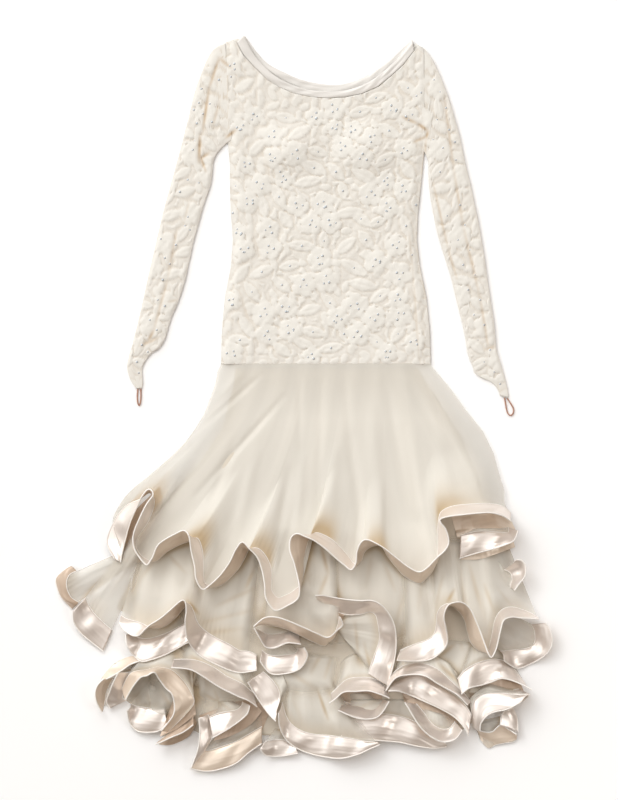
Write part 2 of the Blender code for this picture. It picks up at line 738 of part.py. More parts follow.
def add_bodice_front(collection):
    """Front panel: raised outside over a plain inside, rolled down to the side seams."""
    columns = FRONT_COLUMNS
    rows = 38
    grid = panel_grid(FRONT_NECK, 0.0, columns, rows)
    outer = []
    inner = []
    for v in range(rows):
        for u in range(columns):
            px, py = grid[v][u]
            left, right = bodice_edges(py)
            side = min(px - left, right - px)
            roll = ease(side / EDGE_ROLL)
            plain = BODICE_WALL + SEAM_GAP + BODICE_INSIDE * roll
            calm = roll * ease((WAIST_PY - py) / 8.0) * ease(min(v, 3) / 3.0)
            raised = RELIEF_HEIGHT * flower_relief(px, py) * calm + CUP_HEIGHT * cups(px, py)
            outer.append(place(px, py, plain + BODICE_WALL + raised))
            inner.append(place(px, py, plain))
    count = len(outer)
    faces = grid_faces(rows, columns) + grid_faces(rows, columns, start=count, flip=True)
    border = list(range(columns))
    border += [v * columns + columns - 1 for v in range(1, rows)]
    border += [(rows - 1) * columns + u for u in range(columns - 2, -1, -1)]
    border += [v * columns for v in range(rows - 2, 0, -1)]
    for a, b in zip(border, border[1:] + border[:1]):
        faces.append((a, b, b + count, a + count))
    mesh = mesh_from("bodice_front", outer + inner, faces)
    made = bmesh.new()
    made.from_mesh(mesh)
    made.verts.ensure_lookup_table()
    hidden = set(made.verts[count:])
    edges = [edge for edge in made.edges if all(vert in hidden for vert in edge.verts)]
    bmesh.ops.dissolve_limit(made, angle_limit=math.radians(2.0), verts=list(hidden), edges=edges)
    bmesh.ops.triangulate(made, faces=[face for face in made.faces if len(face.verts) > 4])
    made.to_mesh(mesh)
    made.free()
    new_object("bodice_front", mesh, CREAM, RAISED_ROUGHNESS, collection)
    return grid[0]


def add_bodice_back(collection):
    """Back panel, flat on the surface, up to the back neck binding."""
    grid = panel_grid(BACK_PANEL_TOP, BACK_BAND_WIDTH, BACK_COLUMNS, 3)
    points = [[place(px, py, BODICE_WALL) for px, py in row] for row in grid]
    sheet("bodice_back", points, BODICE_WALL, CREAM, RAISED_ROUGHNESS, collection)
    return grid[0]


def binding(name, upper, seam, bottom, height, collection):
    """Satin binding from its top line to the seam on the panel, slightly rounded on top."""
    gap = SEAM_GAP * MM / PIXEL
    count = len(seam) - 1
    first = spaced(upper, count)
    ring = ((0.0, 0.35), (0.25, 1.0), (0.75, 1.0), (1.0, 0.35), (1.0, 0.0), (0.0, 0.0))
    points = []
    for a, b in zip(first, seam):
        for share, up in ring:
            px = mix(a[0], b[0], share)
            py = mix(a[1], b[1] - gap, share)
            points.append(place(px, py, bottom + height * up))
    size = len(ring)
    faces = []
    for n in range(count):
        for k in range(size):
            a = n * size + k
            b = n * size + (k + 1) % size
            faces.append((a, a + size, b + size, b))
    faces.append(tuple(range(size)))
    faces.append(tuple(count * size + k for k in range(size))[::-1])
    mesh = mesh_from(name, points, faces)
    face_outwards(mesh)
    new_object(name, mesh, SATIN, SATIN_ROUGHNESS, collection)


def add_necks(front_seam, back_seam, collection):
    """Satin bindings of the front and back neckline."""
    bottom = BODICE_WALL + SEAM_GAP + BODICE_INSIDE
    low, high = FRONT_BAND_ENDS
    seam = [(px, py) for px, py in front_seam if low < px < high]
    binding("neck_band_front", FRONT_BAND_TOP, seam, bottom, NECK_BAND_HEIGHT, collection)
    low, high = BACK_BAND_ENDS
    seam = [(px, py) for px, py in back_seam if low < px < high]
    binding("neck_band_back", BACK_NECK, seam, 0.0, BODICE_WALL, collection)


def sleeve_ring(row, height, wall, raised):
    """One section of a flattened sleeve, outer or inner."""
    ax, ay, bx, by = row
    width = math.hypot(bx - ax, by - ay) * PIXEL / MM
    inset = wall / width
    top = height - wall
    middle = height * 0.5
    profile = (
        (inset, middle), (0.06 + inset, mix(middle, top, 0.75)), (0.2, top), (0.35, top), (0.5, top), (0.65, top),
        (0.8, top), (0.94 - inset, mix(middle, top, 0.75)), (1.0 - inset, middle), (0.9 - inset, wall),
        (0.5, wall), (0.1 + inset, wall),
    )
    points = []
    for share, up in profile:
        px = mix(ax, bx, share)
        py = mix(ay, by, share)
        if raised and up == top:
            up += raised * flower_relief(px * 1.15, py)
        points.append(place(px, py, up))
    return points


def add_sleeve(name, rows, collection):
    """Long sleeve as a flattened tube, open at the armhole and closed to a point over the hand."""
    outer = []
    inner = []
    last = len(rows) - 1
    for n, row in enumerate(rows):
        taper = ease((last - n) / 5.0)
        height = mix(CUFF_HEIGHT, SLEEVE_HEIGHT, taper)
        calm = ease(min(n, last - n) / 3.0)
        outer.append(sleeve_ring(row, height, 0.0, RELIEF_HEIGHT * 0.8 * calm))
        inner.append(sleeve_ring(row, height, SLEEVE_WALL, 0.0))
    size = len(outer[0])
    count = len(rows) * size
    points = [point for ring in outer + inner for point in ring]
    faces = grid_faces(len(rows), size, closed=True)
    faces += grid_faces(len(rows), size, closed=True, start=count, flip=True)
    for k in range(size):
        b = (k + 1) % size
        faces.append((k, b, b + count, k + count))
        far = count - size
        faces.append((far + b, far + k, far + k + count, far + b + count))
    mesh = mesh_from(name, points, faces)
    face_outwards(mesh)
    new_object(name, mesh, CREAM, RAISED_ROUGHNESS, collection)


def add_loop(name, line, collection):
    """Round elastic finger loop."""
    curve = bpy.data.curves.new(name, "CURVE")
    curve.dimensions = "3D"
    curve.bevel_depth = LOOP_CORD * 0.5 * MM
    curve.bevel_resolution = 1
    curve.use_fill_caps = True
    points = spaced(line, 18)
    spline = curve.splines.new("POLY")
    spline.points.add(len(points) - 1)
    for knot, (px, py) in zip(spline.points, points):
        knot.co = (*place(px, py, LOOP_CORD * 0.5 + 0.2), 1.0)
    made = bpy.data.objects.new(name, curve)
    curve.materials.append(material(name + "_cloth", LOOP_BROWN, LOOP_ROUGHNESS))
    collection.objects.link(made)


def add_heap(collection):
    """Rounded heap of the hidden layers, with their edges one above the other."""
    rings = []
    crown = (0.25, 0.5, 0.75)
    for py, left, right, top in HEAP:
        ring = [place(left + inward, py, up * top) for inward, up in HEAP_EDGE]
        first = left + HEAP_EDGE[-1][0]
        last = right - HEAP_EDGE[-1][0]
        ring += [place(mix(first, last, share), py, top) for share in crown]
        ring += [place(right - inward, py, up * top) for inward, up in HEAP_EDGE[::-1]]
        rings.append(ring)
    size = len(rings[0])
    points = [point for ring in rings for point in ring]
    faces = grid_faces(len(rings), size, closed=True, flip=True)
    faces.append(tuple(range(size)))
    faces.append(tuple((len(rings) - 1) * size + k for k in range(size))[::-1])
    mesh = mesh_from("under_layers", points, faces)
    face_outwards(mesh)
    new_object("under_layers", mesh, CHIFFON, CHIFFON_ROUGHNESS, collection)


def band_columns(rows):
    """Number of steps along a hem in the solid."""
    return max(4, round(length_of(rows) * PIXEL / MM / COLUMN_SPACING))


def facing(root, rows):
    """Rows and root turned so that the cloth that they hang from is on the left of the way along them."""
    turning = 0.0
    start = (sum(point[0] for point in root) / len(root), sum(point[1] for point in root) / len(root))
    for a, b in zip(rows, rows[1:]):
        along = (b[2] - a[2], b[3] - a[3])
        back = (start[0] - a[2], start[1] - a[3])
        turning += along[1] * back[0] - along[0] * back[1]
    return (root, rows) if turning > 0.0 else (root[::-1], rows[::-1])


def seam_heights(lines, ground):
    """Height of the seam at each column, on the ground and lifted as the table says."""
    heights = []
    for line in lines:
        heights.append(ground.near(line[2], line[3], SEAM_REACH) + SEAM_GAP + CHIFFON_WALL + line[4])
    return [sum(heights[max(0, n - 1):n + 2]) / len(heights[max(0, n - 1):n + 2]) + 0.3 for n in range(len(heights))]


def band_rows(lines, heights, ground):
    """Places of a satin band from its seam out to its hem."""
    near = []
    middle = []
    far = []
    for line, seam_up in zip(lines, heights):
        hx, hy, sx, sy, _, stance = line
        run = max(1.0, math.hypot(hx - sx, hy - sy))
        rise = stance * math.sqrt(max(0.0, BAND_WIDTH ** 2 - (run * PIXEL / MM) ** 2))
        hem_ground = ground.near(hx, hy, HEM_REACH) + SEAM_GAP + SATIN_WALL
        hem_up = max(hem_ground, seam_up + rise)
        gap = (SEAM_GAP + (SATIN_WALL if rise < 0.0 else 0.0)) * MM / PIXEL / run
        near.append((mix(sx, hx, gap), mix(sy, hy, gap), seam_up + 0.5))
        half = (mix(sx, hx, 0.5), mix(sy, hy, 0.5))
        half_up = max(mix(seam_up, hem_up, 0.5), ground.near(*half, HALF_REACH) + SEAM_GAP + SATIN_WALL)
        middle.append((*half, half_up))
        far.append((hx, hy, hem_up))
    flat = sum(abs(line[5]) for line in lines) / len(lines) < FLAT_STANCE
    return [near, middle, far] if flat else [near, far]


def placed(grid):
    """Points in metres from rows of places with heights."""
    return [[place(*spot) for spot in row] for row in grid]


def add_band(name, lines, heights, ground, collection):
    """Satin band of a hem."""
    grid = band_rows(lines, heights, ground)
    sheet(name, placed(grid), SATIN_WALL, SATIN, SATIN_ROUGHNESS, collection)
    if len(grid) > 2:
        ground.cover(grid)


def side_at(rows, py):
    """Place across of a side outline at a height in the photo."""
    for a, b in zip(rows, rows[1:]):
        if py <= b[1]:
            return mix(a[0], b[0], (py - a[1]) / (b[1] - a[1]))
    return rows[-1][0]


def side_pull(side, py):
    """Distance from the plain course of an edge column to the real side of the skirt."""
    (start, upper), (end, lower) = side[0], side[-1]
    return side_at(side, py) - mix(start, end, share_between(upper, lower, py) ** SWEEP)


def add_first_tier(ground, collection):
    """Upper skirt layer from the waist to the first hem, and its satin band."""
    count = FIRST_COLUMNS
    rows = FIRST_ROWS
    lines = spaced(FIRST_HEM, count)
    heights = seam_heights(lines, ground)
    grid = []
    for v in range(rows):
        depth = v / (rows - 1)
        sweep = depth ** SWEEP
        row = []
        for u in range(count + 1):
            share = u / count
            px = mix(mix(*BODICE_SIDES[-1][1:], share), lines[u][2], sweep)
            py = mix(WAIST_PY + 0.3, lines[u][3], depth)
            fade = 0.0
            if v < rows - 1:
                fade = 1.0 - ease((depth - 0.7) / 0.3) * min(1.0, min(u, count - u) / 4.0)
            px += fade * (1.0 - share) ** EDGE_PULL * side_pull(SKIRT_LEFT, py)
            px += fade * share ** EDGE_PULL * side_pull(SKIRT_RIGHT, py)
            if v == rows - 1:
                up = heights[u]
            else:
                up = ground.near(px, py, SKIRT_REACH) + SEAM_GAP + CHIFFON_WALL
                up += lines[u][4] * ease((depth - 0.35) / 0.65)
            row.append((px, py, up))
        grid.append(row)
    sheet("skirt_upper", placed(grid), CHIFFON_WALL, CHIFFON, CHIFFON_ROUGHNESS, collection)
    add_band("first_band", lines, heights, ground, collection)


def hanging_rows(root, lines, ground):
    """Rows of cloth from under the layer above down to just before the seam of the band."""
    count = len(lines) - 1
    start = spaced(root, count)
    span = max(math.dist(a, line[2:4]) for a, line in zip(start, lines))
    rows = max(2, math.ceil(span / ROW_SPACING))
    reach = 0.65 * span / rows + 2.0
    grid = []
    for v in range(rows):
        depth = v / rows
        row = []
        for a, line in zip(start, lines):
            px = mix(a[0], line[2], depth)
            py = mix(a[1], line[3], depth)
            up = ground.near(px, py, reach if v else 0.25 * reach) + SEAM_GAP + CHIFFON_WALL
            row.append((px, py, up + line[4] * ease((depth - 0.2) / 0.8)))
        grid.append(row)
    return grid


def add_stretch(name, shows, root, rows, ground, collection):
    """One stretch of a flounce that shows: chiffon from under the layer above, and its satin band."""
    root, rows = facing(root, rows)
    lines = spaced(rows, band_columns(rows))
    heights = seam_heights(lines, ground)
    grid = hanging_rows(root, lines, ground)
    if shows:
        grid.append([(line[2], line[3], up) for line, up in zip(lines, heights)])
        sheet(name + "_flounce", placed(grid), CHIFFON_WALL, CHIFFON, CHIFFON_ROUGHNESS, collection)
        add_band(name + "_band", lines, heights, ground, collection)
    else:
        band = band_rows(lines, heights, ground)
        sheet(name + "_band", placed(grid + band), SATIN_WALL, SATIN, SATIN_ROUGHNESS, collection)
        if len(band) > 2:
            ground.cover(band)
    ground.cover(grid)


def main():
    """Builds the dress."""
    for item in list(bpy.data.objects):
        bpy.data.objects.remove(item)
    collection = bpy.data.collections.new("ballroom_dress")
    bpy.context.scene.collection.children.link(collection)
    front_seam = add_bodice_front(collection)
    back_seam = add_bodice_back(collection)
    add_necks(front_seam, back_seam, collection)
    add_sleeve("sleeve_left", LEFT_SLEEVE, collection)
    add_sleeve("sleeve_right", RIGHT_SLEEVE, collection)
    add_loop("finger_loop_left", LEFT_LOOP, collection)
    add_loop("finger_loop_right", RIGHT_LOOP, collection)
    add_heap(collection)
    ground = Ground()
    for name, shows, root, rows in STRETCHES:
        add_stretch(name, shows, root, rows, ground, collection)
    add_first_tier(ground, collection)


main()
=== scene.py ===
"""Ivory ballroom dance dress, laid flat on its back, front up: cloth, satin hems, crystals and light.

Laid out as an add-on and run as a script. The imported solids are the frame, and each piece of cloth is a
thin shell on the form of its solid. Metres, +Z up from the surface that it lies on, +Y to the neck.
"""

import math

import bpy
import numpy as np
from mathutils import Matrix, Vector


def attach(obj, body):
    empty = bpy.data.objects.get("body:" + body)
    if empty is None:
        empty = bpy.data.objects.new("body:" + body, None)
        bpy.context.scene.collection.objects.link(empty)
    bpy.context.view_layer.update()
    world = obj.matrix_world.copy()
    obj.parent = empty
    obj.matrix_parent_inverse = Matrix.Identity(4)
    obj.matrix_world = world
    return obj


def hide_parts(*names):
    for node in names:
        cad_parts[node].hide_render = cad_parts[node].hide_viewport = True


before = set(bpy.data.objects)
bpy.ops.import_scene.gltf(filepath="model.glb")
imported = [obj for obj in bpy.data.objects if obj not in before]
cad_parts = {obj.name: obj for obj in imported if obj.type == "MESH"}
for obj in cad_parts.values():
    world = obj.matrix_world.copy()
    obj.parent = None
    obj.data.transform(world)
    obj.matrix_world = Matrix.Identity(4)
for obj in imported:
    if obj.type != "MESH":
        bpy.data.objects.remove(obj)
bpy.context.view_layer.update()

bl_info = {
    "name": "Ballroom Dress",
    "version": (1, 0, 0),
    "blender": (4, 5, 0),
    "location": "View3D > Sidebar > Dress",
    "description": "Builds an ivory ballroom dance dress with satin edged flounces",
    "category": "Object",
}

# Scale: metres, and pixels of the photo
MM = 0.001
DRESS_LENGTH = 1.325
DRESS_PIXELS = 736.0
PIXEL = DRESS_LENGTH / DRESS_PIXELS
PICTURE_WIDTH = 618.0
PICTURE_HEIGHT = 800.0

# Places and distances in the photo, in pixels
CENTRE_PX = 304.3
CENTRE_PY = 403.5
WAIST_PY = 364.5
ARMPIT_PY = 144.0
CUP_PLACES = (290.0, 366.0)
CUP_PY = 149.0
EDGE_ROLL = 9.0
BACK_BAND_WIDTH = 9.0
FRONT_BAND_ENDS = (236.5, 414.0)
BACK_BAND_ENDS = (243.0, 414.0)
HIDDEN_REACH = 28.0

# Walls, gaps, heights and radii, in millimetres
SEAM_GAP = 0.3
CHIFFON_WALL = 1.0
BODICE_WALL = 1.3
RAISED_SHELL = 0.5
SLEEVE_SHELL = 0.4
SATIN_SHELL = 0.4
BINDING_SHELL = 0.3
BODICE_INSIDE = 3.4
CUP_HEIGHT = 8.0
RELIEF = 1.7
PUCKER = 0.4
FINE_STEP = 2.6
SKIRT_HEM_LENGTH = 1376.0
SKIRT_DEPTH = 230.0
BAND_BOW = 3.4
BAND_CROWN = 1.2
HEM_EDGE_RADIUS = 1.25
SEAM_EDGE_RADIUS = 0.8
LOOP_RADIUS = 1.25
CRYSTAL_RADIUS = 1.95

# Folds, gathers and waves of the cloth, in millimetres: height, pitch
SKIRT_FOLDS = (1.4, 140.0)
FLOUNCE_FOLDS = (3.2, 52.0)
GATHERS = (0.55, 9.5)
BAND_WAVES = (2.3, 78.0)
BAND_CREASES = (0.35, 33.0)

# Steps across and down of the small puffs and of the lattice of roses, in pixels
PUFF_STEPS = (11.5, 9.5)
LATTICE_STEPS = (42.0, 30.0)

# Shape of the upper skirt, and the stance below which a band lies flat
EDGE_PULL = 14
SWEEP = 1.5
FLAT_STANCE = 0.32

# Points of the sheets: across and down the bodice, along and around a sleeve, across and down the skirt
FRONT_GRID = (172, 266)
BACK_GRID = (70, 110)
SLEEVE_GRID = (290, 60)
SKIRT_GRID = (500, 112)
BINDING_STEPS = 180
LOOP_STEPS = 90
HEAP_ROWS = 170
BAND_ROWS = 13

# Lens and sensor of the camera in millimetres
CAMERA_LENS = 260.0
CAMERA_SENSOR = 36.0

# Floor and lights in metres: place and size of a light, and the way to the brightest part of the surround
FLOOR_HALF = 6.0
FLOOR_DROP = 0.0006
KEY_LIGHT = ((-1.5, 1.7, 2.4), 1.2)
FILL_LIGHT = ((1.9, -0.6, 2.2), 0.7)
BRIGHT_SIDE = (-0.45, 0.62, 0.64)
# Light of the surround from its dark to its bright side: place, colour
SKY = ((0.02, (0.2, 0.145, 0.1)), (0.5, (0.51, 0.465, 0.42)), (0.72, (1.17, 1.165, 1.155)),
       (0.96, (2.05, 2.06, 2.07)))

# Outline of the bodice: height in the photo, left edge, right edge
BODICE_SIDES = (
    (34, 226.0, 424.0), (142, 228.0, 425.0), (166, 230.0, 423.0), (192, 230.0, 420.5), (214, 231.0, 418.0),
    (240, 233.0, 417.0), (266, 231.0, 420.0), (297, 225.0, 426.5), (330, 222.0, 430.0), (368, 221.0, 431.0),
)

# Necklines and shoulders: place across, height in the photo
FRONT_NECK = (
    (222, 44), (232, 40), (237, 43), (243, 55), (254, 67), (267, 80), (279, 87.5), (293, 93.5), (310, 97),
    (328, 98.5), (345, 97.5), (362, 94), (378, 87), (391, 76.5), (403, 65.5), (412, 54), (419, 45.5),
    (428, 52),
)
FRONT_BAND_TOP = (
    (244, 35.5), (251, 49), (260, 62), (276, 76.5), (297, 86.5), (317, 91), (338, 91.5), (359, 86.5),
    (376, 77.5), (393, 63), (405, 50), (412.5, 40),
)
BACK_NECK = (
    (245, 36), (255, 50), (267, 63), (283, 72), (302, 80), (321, 84), (338, 85), (355, 81), (372, 73),
    (388, 62), (403, 48), (412, 40),
)
BACK_PANEL_TOP = ((222, 35), (236, 30), (240, 29), *BACK_NECK, (415, 34), (428, 42))

# Sleeves from the armhole to the point of the hand cover: outer edge, inner edge
LEFT_SLEEVE = (
    (225.6, 43, 227.5, 140), (214, 49, 222, 143.5), (207, 60, 217.5, 147.5), (202, 72, 215, 151),
    (197.5, 84, 214, 155), (194, 95, 213.3, 161), (191.2, 106, 212.8, 168), (188.5, 118, 212, 177),
    (185, 131, 210.5, 185), (181.5, 145, 208, 193), (178, 158, 205, 201), (174.5, 171, 202, 211),
    (171, 184, 199, 222), (167, 198, 196, 233), (163, 213, 193, 244), (159.5, 228, 191, 254),
    (156, 243, 188.5, 265), (152.5, 258, 186, 277), (149, 273, 182, 291), (145.5, 289, 177, 305),
    (142, 305, 172, 316), (138.5, 320, 168.5, 327), (135, 334, 165.5, 337.5), (131.5, 347, 160, 347.5),
    (128.8, 357, 152, 353), (127.4, 364, 146, 360), (127.6, 371, 142.5, 368.5), (129.8, 378, 142.6, 376.5),
    (133, 384, 143, 383), (136.2, 388.6, 142, 388.4),
)
RIGHT_SLEEVE = (
    (424.4, 49, 425.5, 140), (433, 61, 427.6, 144), (440, 76, 428.2, 149), (446, 91, 428.5, 154),
    (451, 106, 428.6, 161), (455, 120, 428.6, 170), (458.5, 132, 428.8, 181), (461, 143, 430, 193),
    (463, 153, 432, 206), (465, 162, 434.5, 219), (467, 171, 437, 231), (469.3, 180, 440, 242),
    (471.5, 189, 443.5, 253), (474.5, 204, 447, 264), (478, 220, 450.5, 275), (481, 237, 453.5, 287),
    (484, 255, 456, 298), (486.5, 273, 458.7, 309), (489, 291, 461.5, 320), (491.7, 308, 464, 331),
    (494, 324, 466, 342), (495.3, 338, 467.5, 352), (496.5, 350, 470, 360), (499.5, 360, 473, 367),
    (502.5, 370, 475, 373), (505, 379, 482, 378), (507, 387, 491, 382), (508, 393, 497, 388),
    (508.2, 397.5, 500.5, 396),
)

# Finger loops, centre line of the elastic
LEFT_LOOP = ((137.8, 388.8), (137.3, 396.0), (137.7, 402.0), (139.2, 405.4), (140.5, 402.0), (140.9, 396.0),
             (140.8, 388.8))
RIGHT_LOOP = ((504.4, 397.6), (505.6, 404.0), (506.4, 409.0), (508.0, 413.6), (510.6, 415.4), (513.0, 413.4),
              (513.4, 409.0), (511.0, 404.0), (507.1, 398.3))

# Heap of the hidden layers: height in the photo, left edge, right edge, top in millimetres
HEAP = (
    (367.8, 236, 417, 4.0), (395, 232, 434, 7.0), (430, 222, 457, 10.0), (470, 194, 476, 14.0),
    (505, 163, 484, 18.0), (540, 146, 488, 20.0), (580, 132, 490, 20.0), (620, 134, 490, 18.0),
    (655, 150, 490, 15.0), (690, 148, 488, 11.0), (715, 162, 482, 8.0), (735, 205, 455, 5.0),
)
# Edge of the heap in layers: pixels in from the edge, share of the height
HEAP_EDGE = ((2.0, 0.0), (0.0, 0.1), (0.0, 0.2), (2.5, 0.27), (7.0, 0.34), (8.0, 0.56), (10.0, 0.63),
             (14.0, 0.7), (15.0, 0.9), (20.0, 1.0))

# Upper skirt layer
SKIRT_LEFT = ((221, 366), (218, 371), (216, 383), (211, 397), (204, 414), (195, 430), (187, 442), (175, 455),
              (161, 467), (148, 478), (136, 487), (126, 497), (117, 510), (109, 524), (104.5, 538),
              (106.5, 549), (111, 553.5))
SKIRT_RIGHT = ((431, 366), (450, 389), (465, 410), (482, 431), (493, 453), (501, 480), (507, 497), (511, 513))

# First hem. Columns: hem across, hem down, seam across, seam down, lift of the seam in mm, stance of the
# band, which is 1 where it stands up from its seam, 0 where it lies level and -1 where it hangs
FIRST_HEM = (
    (121, 562, 115, 559, 0, 0.1), (123.5, 548, 107, 542, 1, 0.4), (130, 525, 114, 522, 5, 0.6),
    (137, 508, 126, 506, 11, 0.8), (144, 495, 140.5, 499, 18, 1.0), (150, 489, 150, 493, 22, 1.0),
    (154, 494, 154, 499, 22, 1.0), (148, 503, 153.5, 509, 20, 1.0), (141, 516, 148, 522, 14, 1.0),
    (135.5, 529, 140, 533, 8, 1.0), (134, 539, 136, 542, 4, 1.0), (137, 551, 138.5, 551, 1, 1.0),
    (147, 564, 147, 559, 0, 1.0), (153, 558, 157, 561, 3, 1.0), (160, 543, 168, 551, 10, 1.0),
    (177, 533, 181, 544, 18, 1.0), (185, 530, 190, 541, 20, 1.0), (190, 536, 198, 538, 19, 1.0),
    (192, 550, 203, 550, 13, 1.0), (195, 565, 203.5, 564, 7, 1.0), (197, 578, 203.5, 576, 3, 1.0),
    (203, 588, 206, 583, 0, 1.0), (211, 584, 215, 587, 2, 1.0), (221, 574, 226, 582, 6, 1.0),
    (231, 560, 238, 569, 12, 1.0), (237, 548, 245, 558, 17, 1.0), (243, 541, 250, 549, 20, 1.0),
    (250, 548, 259, 548, 18, 1.0), (257, 556, 267, 557, 13, 1.0), (262, 569, 271, 569, 8, 1.0),
    (265, 583, 271.5, 581, 4, 1.0), (266, 597, 272, 590, 1, 1.0), (275, 609, 278, 597, 0, 1.0),
    (288, 604, 289, 593, 1, 1.0), (298, 597, 296, 588, 3, 1.0), (300, 587, 301.5, 583, 5, 1.0),
    (298, 575, 304, 572, 8, 1.0), (294, 561, 304, 560, 14, 1.0), (290, 549, 305.5, 550, 20, 1.0),
    (291, 538, 308, 541.5, 22, 1.0), (297, 533, 311, 536, 22, 1.0), (306, 536, 316, 532.5, 20, 1.0),
    (315, 540, 323, 534, 16, 1.0), (325, 548, 332, 539, 12, 1.0), (335, 557, 341, 548, 7, 1.0),
    (344, 564, 349, 557, 3, 1.0), (351, 569, 354, 563, 0, 1.0), (356, 562, 361, 561, 4, 1.0),
    (357, 550, 364, 553, 11, 1.0), (361, 541, 368, 548, 16, 1.0), (367, 539, 375, 545, 18, 1.0),
    (376, 543, 381, 546, 17, 1.0), (386, 549, 387, 556, 13, 1.0), (396, 557, 396, 567, 9, 1.0),
    (407, 566, 406, 577, 4, 1.0), (418, 571, 419, 583, 2, 1.0), (426, 567, 428, 576, 2, 1.0),
    (435, 558, 434.5, 566, 4, 1.0), (444, 550, 437.5, 554, 7, 1.0), (448, 541, 438, 543, 12, 1.0),
    (445, 529, 437.5, 531, 17, 1.0), (439, 520, 438, 519, 20, 1.0), (443, 517, 441, 511, 21, 1.0),
    (455, 515, 452, 506, 20, 1.0), (470, 513, 469, 504, 18, 1.0), (486, 512, 487, 503, 15, 1.0),
    (500, 515, 502, 506, 10, 1.0), (511, 521, 510.5, 513, 4, 0.9),
)

